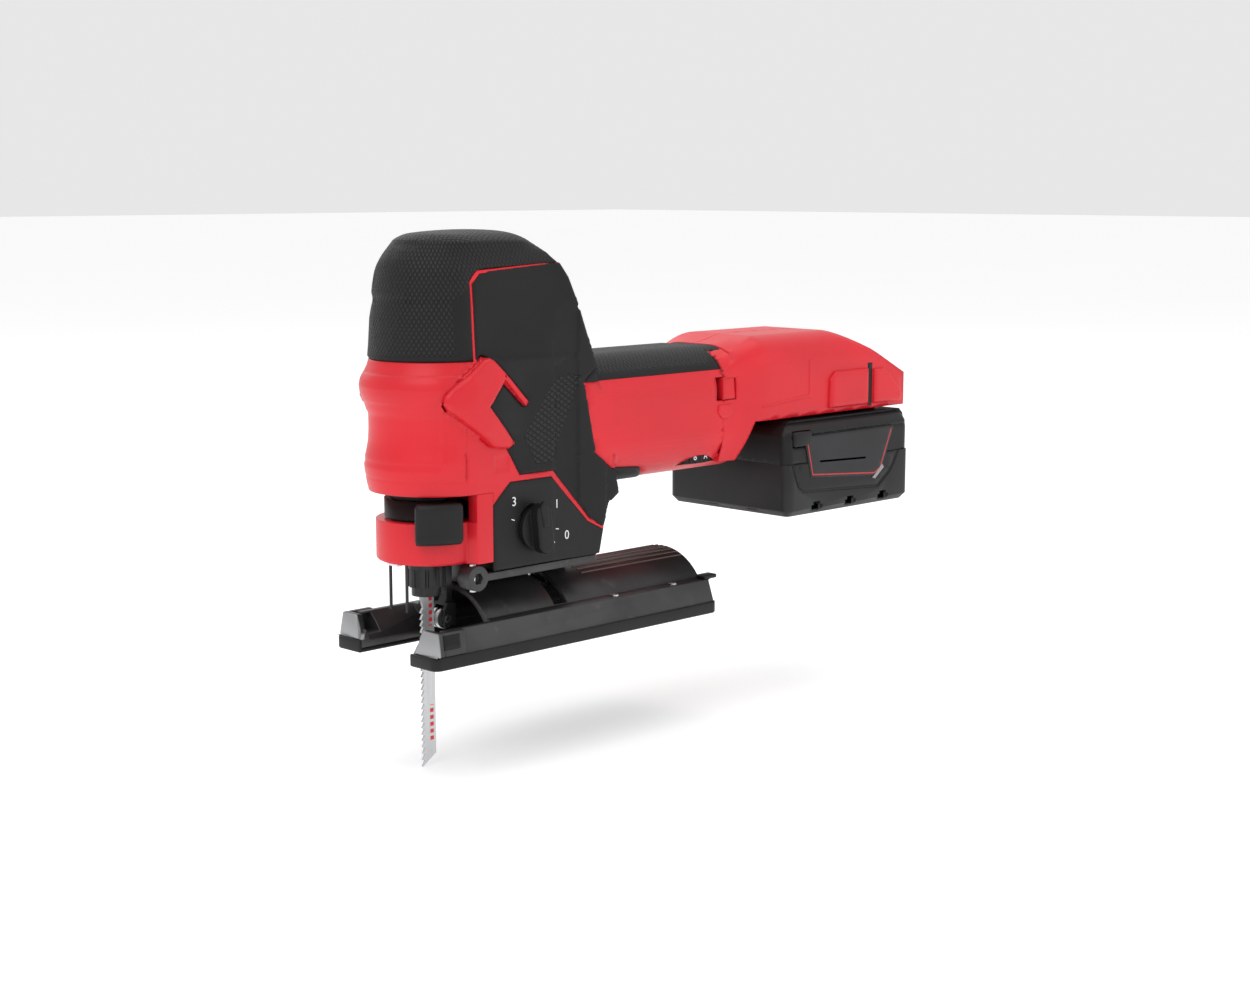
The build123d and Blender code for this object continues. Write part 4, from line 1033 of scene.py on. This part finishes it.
def plain_mesh(made):
    """Turn a piece with live modifiers into a plain mesh."""
    bpy.context.view_layer.update()
    mesh = bpy.data.meshes.new_from_object(
        made.evaluated_get(bpy.context.evaluated_depsgraph_get()))
    mesh.name = made.name
    made.modifiers.clear()
    made.data = mesh
    return made


def round_edges(made, width, segments=3, angle=28.0):
    """Round the edges of a piece."""
    bevel = made.modifiers.new("Rounding", "BEVEL")
    bevel.width = width
    bevel.segments = segments
    bevel.limit_method = "ANGLE"
    bevel.angle_limit = math.radians(angle)
    bevel.use_clamp_overlap = True
    bevel.harden_normals = False
    made = plain_mesh(made)
    smooth(made.data, 40.0)
    return made


def rounded(node, finish, body, slot, width, segments=3, change=None):
    """A frame piece with rounded edges, and change(bmesh) first."""
    bm = frame_mesh(node)
    dissolve_flats(bm)
    if change:
        change(bm)
    made = to_object(bm, "Rounded_" + node, finish)
    return settle(round_edges(made, width, segments), body, slot, node)


def carve(made, cutters):
    """Cut closed shapes out of a piece; cutters are bmeshes."""
    mesh = bpy.data.meshes.new("cutter")
    join = join_all(cutters)
    join.to_mesh(mesh)
    join.free()
    tool = bpy.data.objects.new("cutter", mesh)
    bpy.context.scene.collection.objects.link(tool)
    cut = made.modifiers.new("Cut", "BOOLEAN")
    cut.operation = "DIFFERENCE"
    cut.solver = "EXACT"
    cut.object = tool
    plain_mesh(made)
    bpy.data.objects.remove(tool)
    return made


def prism(outline, place_low, place_high):
    """A closed prism between two placings of one outline."""
    if area_of(outline) < 0:
        outline = outline[::-1]
    bm = bmesh.new()
    low = [bm.verts.new(place_low(u, v)) for u, v in outline]
    high = [bm.verts.new(place_high(u, v)) for u, v in outline]
    bm.faces.new(low[::-1])
    bm.faces.new(high)
    for index in range(len(outline)):
        after = (index + 1) % len(outline)
        bm.faces.new((low[index], low[after], high[after], high[index]))
    bmesh.ops.recalc_face_normals(bm, faces=bm.faces)
    return bm


def cuboid(low, high):
    """A box between two corners, in mm."""
    outline = [(low[0], low[1]), (high[0], low[1]), (high[0], high[1]), (low[0], high[1])]
    return prism(outline, lambda u, v: Vector((u, v, low[2])) * MM,
                 lambda u, v: Vector((u, v, high[2])) * MM)


def side_prism(outline, y_from, y_to):
    """A prism across the object over an outline seen from the side, in mm."""
    return prism(outline, lambda u, v: Vector((u, y_from, v)) * MM,
                 lambda u, v: Vector((u, y_to, v)) * MM)


# ------------------------------------------------------------ what repeats
def arc_of_ribs_tree():
    """Ribs side by side round an arc, along Z."""
    tree = bpy.data.node_groups.new("ArcOfRibs", "GeometryNodeTree")
    face = tree.interface
    face.new_socket("Geometry", in_out="INPUT", socket_type="NodeSocketGeometry")
    for name, kind, default in (("Count", "NodeSocketInt", 7), ("Radius", "NodeSocketFloat", 0.028),
                                ("Start", "NodeSocketFloat", 1.0), ("Sweep", "NodeSocketFloat", 1.0),
                                ("Rib radius", "NodeSocketFloat", 0.0006),
                                ("Rib length", "NodeSocketFloat", 0.06),
                                ("Finish", "NodeSocketMaterial", None)):
        socket = face.new_socket(name, in_out="INPUT", socket_type=kind)
        if default is not None:
            socket.default_value = default
    face.new_socket("Geometry", in_out="OUTPUT", socket_type="NodeSocketGeometry")
    given = tree.nodes.new("NodeGroupInput")
    result = tree.nodes.new("NodeGroupOutput")
    arc = tree.nodes.new("GeometryNodeCurveArc")
    rib = tree.nodes.new("GeometryNodeMeshCylinder")
    rib.inputs["Vertices"].default_value = 10
    copies = tree.nodes.new("GeometryNodeInstanceOnPoints")
    real = tree.nodes.new("GeometryNodeRealizeInstances")
    paint = tree.nodes.new("GeometryNodeSetMaterial")
    for source, name, target, socket in (
            (given, "Count", arc, "Resolution"), (given, "Radius", arc, "Radius"),
            (given, "Start", arc, "Start Angle"), (given, "Sweep", arc, "Sweep Angle"),
            (given, "Rib radius", rib, "Radius"), (given, "Rib length", rib, "Depth"),
            (arc, "Curve", copies, "Points"), (rib, "Mesh", copies, "Instance"),
            (copies, "Instances", real, "Geometry"), (real, "Geometry", paint, "Geometry"),
            (given, "Finish", paint, "Material"), (paint, "Geometry", result, "Geometry")):
        tree.links.new(source.outputs[name], target.inputs[socket])
    return tree


def grown(name, tree, values, matrix, finish):
    """A plain mesh from a node tree and its named inputs, then put in place."""
    mesh = bpy.data.meshes.new(name)
    made = bpy.data.objects.new(name, mesh)
    bpy.context.scene.collection.objects.link(made)
    maker = made.modifiers.new("Maker", "NODES")
    maker.node_group = tree
    for item in tree.interface.items_tree:
        if item.in_out == "INPUT" and item.name in values:
            maker[item.identifier] = values[item.name]
        if item.in_out == "INPUT" and item.name == "Finish":
            maker[item.identifier] = finishes[finish]
    plain_mesh(made)
    made.data.transform(matrix)
    smooth(made.data, 40.0)
    return made


def eased_side(x_range, z_range, step=2.0, rounds=14):
    """Places points over a smoothed copy of the casing's side, the same on both sides."""
    xs = np.arange(x_range[0], x_range[1] + step, step)
    zs = np.arange(z_range[0], z_range[1] + step, step)
    depth = np.array([[-surface["casing"].side(x, z, -1, 0.0).y for z in zs] for x in xs])
    crest = depth
    for _ in range(rounds):
        wide = np.pad(depth, 1, mode="edge")
        depth = (wide[:-2, 1:-1] + wide[2:, 1:-1] + wide[1:-1, :-2] + wide[1:-1, 2:]) / 4
        depth = np.maximum(depth, crest - 0.0004)

    def place(x, z, height, sign):
        column = min(max((x - xs[0]) / step, 0.0), len(xs) - 1.001)
        row = min(max((z - zs[0]) / step, 0.0), len(zs) - 1.001)
        i, j = int(column), int(row)
        p, q = column - i, row - j
        level = ((depth[i, j] * (1 - p) + depth[i + 1, j] * p) * (1 - q)
                 + (depth[i, j + 1] * (1 - p) + depth[i + 1, j + 1] * p) * q)
        away = Vector((min(x - NOSE_X, 0.0) * MM, sign * level, 0.0)).normalized()
        return Vector((x * MM, sign * level, z * MM)) + away * height
    return place


class JIGSAW_OT_lugs(Piece):
    """Rounded lug and its thin arm on each side"""
    bl_idname = "jigsaw.lugs"
    bl_label = "Side lugs"

    def make(self, context):
        """Lay the lugs over a flush base."""
        lift = context.scene.jigsaw.lug_lift / MM
        base = work_copy("side_lugs", fine)
        pillow(base, -0.0013, 0.0006, 0.0004)
        write_points(base, shape_casing(read_points(base)))
        bed = to_object(base, "lug_bed", "red_plastic")
        surface["casing"] = Surface(surface["pieces"] + [bed])
        place = eased_side((-14.0, 36.0), (86.0, 132.0))
        thick = [(12.5, 127.4), (10.2, 128.4), (7.4, 128.0), (-8.4, 116.0), (-10.8, 113.4),
                 (-11.2, 110.0), (-9.2, 107.2), (10.8, 91.7), (13.6, 90.0), (21.0, 89.4),
                 (24.4, 91.4), (8.9, 108.2), (16.6, 117.4), (19.2, 120.6)]
        arm = ribbon([(13.6, 124.4), (17.6, 121.0), (32.2, 107.6)], 2.5)
        parts = []
        for sign in (-1, 1):
            cheek = partial(place, sign=sign)
            parts.append(plate(cheek, thick, -2.5, lift + 0.3, 1.9, 0.9))
            parts.append(plate(cheek, arm, -2.5, 0.5 * lift + 0.3, 1.1, 0.9))
        whole = join_all(parts)
        whole.from_mesh(bed.data)
        bpy.data.objects.remove(bed)
        settle(to_object(whole, "Casing_side_lugs", "red_plastic", 60.0),
               "saw_body", "red_plastic", "side_lugs")


def on_dial(radius, turn):
    """The point at a radius and turn round the middle of the dial, in mm."""
    return DIAL_X + radius * math.cos(turn), DIAL_Z + radius * math.sin(turn)


class JIGSAW_OT_dial(Piece):
    """Figures and ticks of the orbit dial, and its knob"""
    bl_idname = "jigsaw.dial"
    bl_label = "Orbit dial"

    def make(self, context):
        """Lay figures and ticks on the plate and round the knob."""
        side = on_side()
        figures = []
        for text, x, z in (("3", 25.5, 65.7), ("1", 50.6, 62.0), ("0", 56.5, 47.6)):
            figures.append(figure(text, 5.6,
                                  lambda u, v, height, x=x, z=z: side(x + u, z + v, height), 0.12))
        for angle in (350, 325, 160):
            turn = math.radians(angle)
            line = ribbon([on_dial(12.6, turn), on_dial(14.4, turn)], 0.45)
            figures.append(plate(side, line, -0.05, 0.1, 0.05, 0.8))
        settle(to_object(join_all(figures), "Dial_figures", "white_print"), "saw_body", "label")
        # painted shade: a gloss black crescent over the top of the dial, between the 3 and the 1,
        # stands for the shadow in the dial's recess
        rim = [on_dial(11.4, 2 * math.pi * index / 32) for index in range(1, 14)]
        back = [(DIAL_X + 0.6 * (x - DIAL_X), DIAL_Z + 0.72 * (z - DIAL_Z)) for x, z in rim[::-1]]
        dial_shade_sheet = plate(side, rim + back, -0.1, 0.12, 0.08, 0.9)
        settle(to_object(dial_shade_sheet, "Dial_painted_shade", "gloss_black"), "saw_body", "black_plastic")
        rounded("orbit_knob", "dial_plastic", "knob", "black_plastic", 0.0018, 4)
        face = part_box("orbit_knob")[0][1]
        point = [(-1.6, 1.0), (1.6, 1.0), (2.4, 10.2), (0.0, 12.4), (-2.4, 10.2)]
        turn = math.radians(8)
        turned = [(DIAL_X + u * math.cos(turn) - v * math.sin(turn),
                   DIAL_Z + u * math.sin(turn) + v * math.cos(turn)) for u, v in point]
        pointer = plate(lambda u, v, height: Vector((u * MM, face - height, v * MM)),
                        turned, -1.0, 0.5, 0.5, 0.8)
        settle(to_object(pointer, "Knob_pointer", "dial_plastic"), "knob", "black_plastic")


class JIGSAW_OT_controls(Piece):
    """Collar, release pad, bevel lever, slider surround and speed wheel"""
    bl_idname = "jigsaw.controls"
    bl_label = "Controls"

    def make(self, context):
        """Round the controls and add their small parts."""
        def pad_back(bm):
            points = read_points(bm)
            reach = np.hypot(points[:, 0], points[:, 1])
            points[:, :2] *= np.minimum(1.0, 0.0265 / np.maximum(reach, 1e-6))[:, None]
            write_points(bm, points)
        rounded("release_lever", "black_plastic", "release", "black_plastic", 0.0006, 2, pad_back)
        middle_turn, half_turn, reach = math.radians(244.0), math.radians(22.6), 26.4

        def on_pad(u, v, height):
            turn = middle_turn + u / reach
            out = reach + height / MM
            return Vector((out * math.cos(turn), out * math.sin(turn), v)) * MM
        across = half_turn * reach
        cushion = plate(on_pad, [(-across, 52.2), (-across + 1.4, 50.8), (across - 1.4, 50.8),
                                 (across, 52.2), (across, 66.8), (across - 1.4, 68.2),
                                 (-across + 1.4, 68.2), (-across, 66.8)], -1.5, 2.1, 1.9, 1.2)
        settle(to_object(cushion, "Release_pad", "black_plastic", 60.0), "release", "black_plastic")
        rounded("collar", "red_plastic", "saw_body", "red_plastic", 0.0014, 4)
        rounded("bevel_lever", "shoe_metal", "lock_lever", "shoe_metal", 0.0006, 2)
        rounded("power_slider", "red_plastic", "slider", "red_plastic", 0.0005, 2,
                lambda bm: write_points(bm, flared(read_points(bm))))
        side = on_side()
        tab = plate(side, [(154.2, 97.6), (163.0, 97.6), (164.4, 94.4), (161.0, 90.8),
                           (156.6, 90.8), (153.6, 94.0)], -0.3, 0.8, 0.7, 1.0)
        settle(to_object(tab, "Slider_tab", "red_plastic"), "saw_body", "red_plastic")
        low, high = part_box("speed_wheel")
        middle = Vector(((low[0] + high[0]) / 2, 0, (low[2] + high[2]) / 2))
        radius = (high[0] - low[0]) / 2
        ribs = grown("Wheel_ribs", arc_of_ribs_tree(),
                     {"Count": 84, "Radius": radius - 0.00032, "Start": 0.0,
                      "Sweep": 2 * math.pi * 83 / 84, "Rib radius": 0.0004,
                      "Rib length": (high[2] - low[2]) * 0.94},
                     Matrix.Translation(middle), "black_plastic")
        settle(ribs, "wheel", "black_plastic")
        marks = []
        for index, text in enumerate("A654321"):
            start = math.radians(-80 - 17 * index)

            def round_wheel(u, v, height, start=start):
                angle = start + u * MM / radius
                reach = radius + 0.00002 + height
                return middle + Vector((reach * math.cos(angle), reach * math.sin(angle), v * MM))
            marks.append(figure(text, 4.4, round_wheel, 0.12))
        settle(to_object(join_all(marks), "Wheel_figures", "white_print"), "wheel", "label")


class JIGSAW_OT_rear(Piece):
    """Raised block, gap and insert at the rear of the casing"""
    bl_idname = "jigsaw.rear"
    bl_label = "Rear housing"

    def make(self, context):
        """Lay the blocks on both sides of the rear."""
        blocks, gaps = [], []
        for sign in (-1, 1):
            side = on_side(sign)
            for outline, lift, chamfer in (
                    ([(231.5, 90.2), (261.6, 90.2), (261.6, 108.4), (236.0, 108.4),
                      (232.0, 105.0)], 2.0, 1.6),
                    ([(266.6, 90.2), (288.2, 90.2), (289.6, 93.0), (288.0, 96.5), (279.0, 105.0),
                      (274.0, 107.8), (266.6, 107.8)], 1.6, 1.3),
                    ([(182.0, 95.4), (216.2, 98.6), (216.2, 115.0), (218.0, 116.0),
                      (218.6, 97.0), (182.0, 94.2)], 0.35, 0.5)):
                blocks.append(plate(side, outline, -0.3, lift, chamfer, 1.5))
            gaps.append(plate(side, [(262.2, 89.4), (265.8, 89.4), (265.8, 111.0), (262.2, 111.0)],
                              -0.3, 0.12, 0.08, 1.5))
        settle(to_object(join_all(blocks), "Rear_blocks", "red_plastic", 50.0),
               "saw_body", "red_plastic")
        above = surface["casing"].above
        for sign in (-1, 1):
            corner = [(261.8, sign * 17.0), (281.6, sign * 17.0), (279.2, sign * 26.6),
                      (261.8, sign * 27.6)]
            gaps.append(plate(above, corner, -0.3, 0.5, 0.5, 1.5))
        settle(to_object(join_all(gaps), "Rear_inserts", "black_plastic", 50.0),
               "saw_body", "black_plastic")


class JIGSAW_OT_shoe(Piece):
    """Cast shoe, its cover and the flutes on the hump"""
    bl_idname = "jigsaw.shoe_set"
    bl_label = "Shoe"

    def make(self, context):
        """Round the shoe and cover and lay the flutes."""
        rounded("shoe", "shoe_metal", "shoe_set", "shoe_metal", 0.0007, 2)
        rounded("sole_cover", "black_plastic", "shoe_set", "black_plastic", 0.0009, 3)
        rounded("saddle", "shoe_metal", "saw_body", "shoe_metal", 0.0005, 2)
        blocks, windows = [], []
        square = [(0, 0), (1, 0), (1, 1), (0, 1)]
        for sign in (-1, 1):
            for low, high in (
                    ([(-22.8, 19.0), (-17.6, 19.0), (-17.6, 34.0), (-21.6, 34.0)],
                     [(-21.0, 22.4), (-17.6, 22.4), (-17.6, 32.6), (-20.6, 32.6)]),
                    ([(-17.8, 29.5), (-6.0, 29.5), (-6.0, 34.0), (-17.8, 34.0)],
                     [(-17.8, 29.5), (-6.0, 29.5), (-6.0, 32.6), (-17.8, 32.6)])):
                foot, crest = dict(zip(square, low)), dict(zip(square, high))

                def corner(table, level, sign=sign):
                    return lambda u, v: Vector(
                        (table[(u, v)][0], sign * table[(u, v)][1], level)) * MM
                blocks.append(prism(square, corner(foot, 5.5), corner(crest, 15.8)))

            def flank(u, v, height, sign=sign):
                return Vector((u, sign * (34.1 - 0.136 * (v - 5.5) + height / MM), v)) * MM
            windows.append(plate(flank, [(-18.2, 8.4), (-9.4, 8.4), (-9.4, 14.6), (-18.2, 14.6)],
                                 -0.3, 0.12, 0.1, 1.5))
        made = to_object(join_all(blocks), "Shoe_prows", "shoe_metal")
        settle(round_edges(made, 0.0008, 2), "shoe_set", "shoe_metal")
        settle(to_object(join_all(windows), "Shoe_windows", "gloss_black"), "shoe_set", "shoe_metal")
        turn = Matrix.Translation((0.1135, 0, 0)) @ Matrix.Rotation(math.radians(90), 4, "Y")
        flutes = grown("Hump_flutes", arc_of_ribs_tree(),
                       {"Count": 9, "Radius": 0.0280, "Start": math.radians(180 - 26),
                        "Sweep": math.radians(52), "Rib radius": 0.00045, "Rib length": 0.066},
                       turn, "shoe_brown")
        settle(flutes, "shoe_set", "shoe_metal")


class JIGSAW_OT_pack(Piece):
    """Battery pack with its bezel, label and latches"""
    bl_idname = "jigsaw.pack"
    bl_label = "Battery pack"

    def make(self, context):
        """Shape the two halves and lay the label."""
        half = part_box("pack_tray")[1][1] / MM
        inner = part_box("pack_top")[1][1] / MM
        bezel = [(193.0, 67.0), (199.6, 53.6), (203.0, 51.6), (262.0, 48.6), (272.0, 55.5),
                 (275.6, 60.0), (279.5, 67.0)]
        cutters = [side_prism(bezel, -half - 2, -inner), side_prism(bezel, inner, half + 2)]
        for y in (-20.0, 6.0):
            cutters.append(cuboid((190.0, y, 38.0), (193.6, y + 7.0, 42.6)))
        for x in (214.0, 240.0, 266.0):
            for sign in (-1, 1):
                low_y, high_y = sorted((sign * (half - 1.8), sign * (half + 2)))
                cutters.append(cuboid((x - 2.6, low_y, 38.0), (x + 2.6, high_y, 46.5)))
        tray = to_object(frame_mesh("pack_tray"), "Pack_tray", "pack_plastic")
        carve(tray, cutters)
        flat = bmesh.new()
        flat.from_mesh(tray.data)
        dissolve_flats(flat)
        flat.to_mesh(tray.data)
        flat.free()
        settle(round_edges(tray, 0.0007, 2), "pack", "pack_plastic", "pack_tray")

        def shoulders(points):
            x, y, z = (points[:, index] / MM for index in range(3))
            above = smooth_step(79.6, 86.5, z)
            move = above * 4.6 * smooth_step(inner - 5.0, inner - 1.0, np.abs(y))
            ahead = above * 5.0 * smooth_step(200.0, 193.0, x)
            waist = (0.7 * smooth_step(80.2, 79.6, z) * smooth_step(78.2, 78.8, z)
                     * (np.abs(y) > inner - 2))
            points[:, 1] -= np.sign(y) * (move + waist) * MM
            points[:, 0] += ahead * MM
            return points
        bm = work_copy("pack_top", lambda place: FINE if 0.077 < place.z < 0.0868 else 0.004)
        write_points(bm, shoulders(read_points(bm)))
        settle(to_object(bm, "Pack_top", "black_plastic", 40.0), "pack", "black_plastic", "pack_top")
        for latch in ("left", "right"):
            rounded("pack_latch_" + latch, "black_plastic", "latch_" + latch, "black_plastic",
                    0.0012, 3)
        bezels, labels, lines, chips, bars = [], [], [], [], []
        for sign in (-1, 1):
            def place(u, v, height, side=sign):
                return Vector((u * MM, side * (inner * MM + height), v * MM))

            def on_label(u, v, height, place=place):
                return place(u, v, height + 0.0006)
            bezels.append(plate(place, [(195.6, 66.0), (200.6, 54.6), (204.0, 52.8), (261.6, 49.8),
                                        (271.0, 56.4), (274.0, 60.0), (277.0, 66.0)],
                                -0.3, 0.3, 0.25, 3.0))
            panel = [(204.5, 78.9), (274.4, 78.9), (264.6, 57.2), (259.6, 54.8), (209.6, 58.6)]
            labels.append(plate(place, panel, -0.3, 0.7, 0.4, 3.0))
            line = ribbon([(206.2, 77.6), (210.8, 60.0), (259.0, 56.2), (263.6, 58.4),
                           (272.2, 77.6)], 0.6)
            lines.append(plate(on_label, line, -0.2, 0.16, 0.08, 1.5))
            chip = [(257.6, 53.8), (259.6, 53.2), (266.6, 58.4), (265.2, 60.2)]
            chips.append(plate(on_label, chip, -0.4, 0.35, 0.2, 1.5))
            bar = ribbon([(216.0, 66.0), (252.0, 64.6)], 1.1)
            bars.append(plate(on_label, bar, -0.1, 0.1, 0.05, 1.5))
        for parts, name, finish, slot, nodes in (
                (bezels, "Pack_bezels", "gloss_black", "black_plastic", ()),
                (labels, "Pack_labels", "label", "label", ("pack_labels",)),
                (lines, "Label_lines", "red_print", "label", ()),
                (chips, "Label_chips", "grey_print", "label", ()),
                (bars, "Label_bars", "grey_print", "label", ())):
            settle(to_object(join_all(parts), name, finish), "pack", slot, *nodes)


classes = [JigsawSettings, JIGSAW_OT_stage, JIGSAW_OT_frame, JIGSAW_OT_casing, JIGSAW_OT_lugs,
           JIGSAW_OT_dial, JIGSAW_OT_controls, JIGSAW_OT_rear, JIGSAW_OT_shoe, JIGSAW_OT_pack]
steps = ["stage", "frame", "casing", "lugs", "dial", "controls", "rear", "shoe_set", "pack"]


class JIGSAW_PT_panel(bpy.types.Panel):
    """Everything the jigsaw is made of, in the order it is made"""
    bl_label = "Barrel-Grip Jigsaw"
    bl_space_type = "VIEW_3D"
    bl_region_type = "UI"
    bl_category = "Jigsaw"

    def draw(self, context):
        """List the sizes and the operators."""
        for name in JigsawSettings.__annotations__:
            self.layout.prop(context.scene.jigsaw, name)
        for step in steps:
            self.layout.operator("jigsaw." + step)


def register():
    """Register every class and hang the settings on the scene."""
    for item in classes + [JIGSAW_PT_panel]:
        bpy.utils.register_class(item)
    bpy.types.Scene.jigsaw = PointerProperty(type=JigsawSettings)


def unregister():
    """Undo register."""
    del bpy.types.Scene.jigsaw
    for item in reversed(classes + [JIGSAW_PT_panel]):
        bpy.utils.unregister_class(item)


def main():
    """Build the whole object."""
    register()
    for step in steps:
        getattr(bpy.ops.jigsaw, step)()


if __name__ == "__main__":
    main()
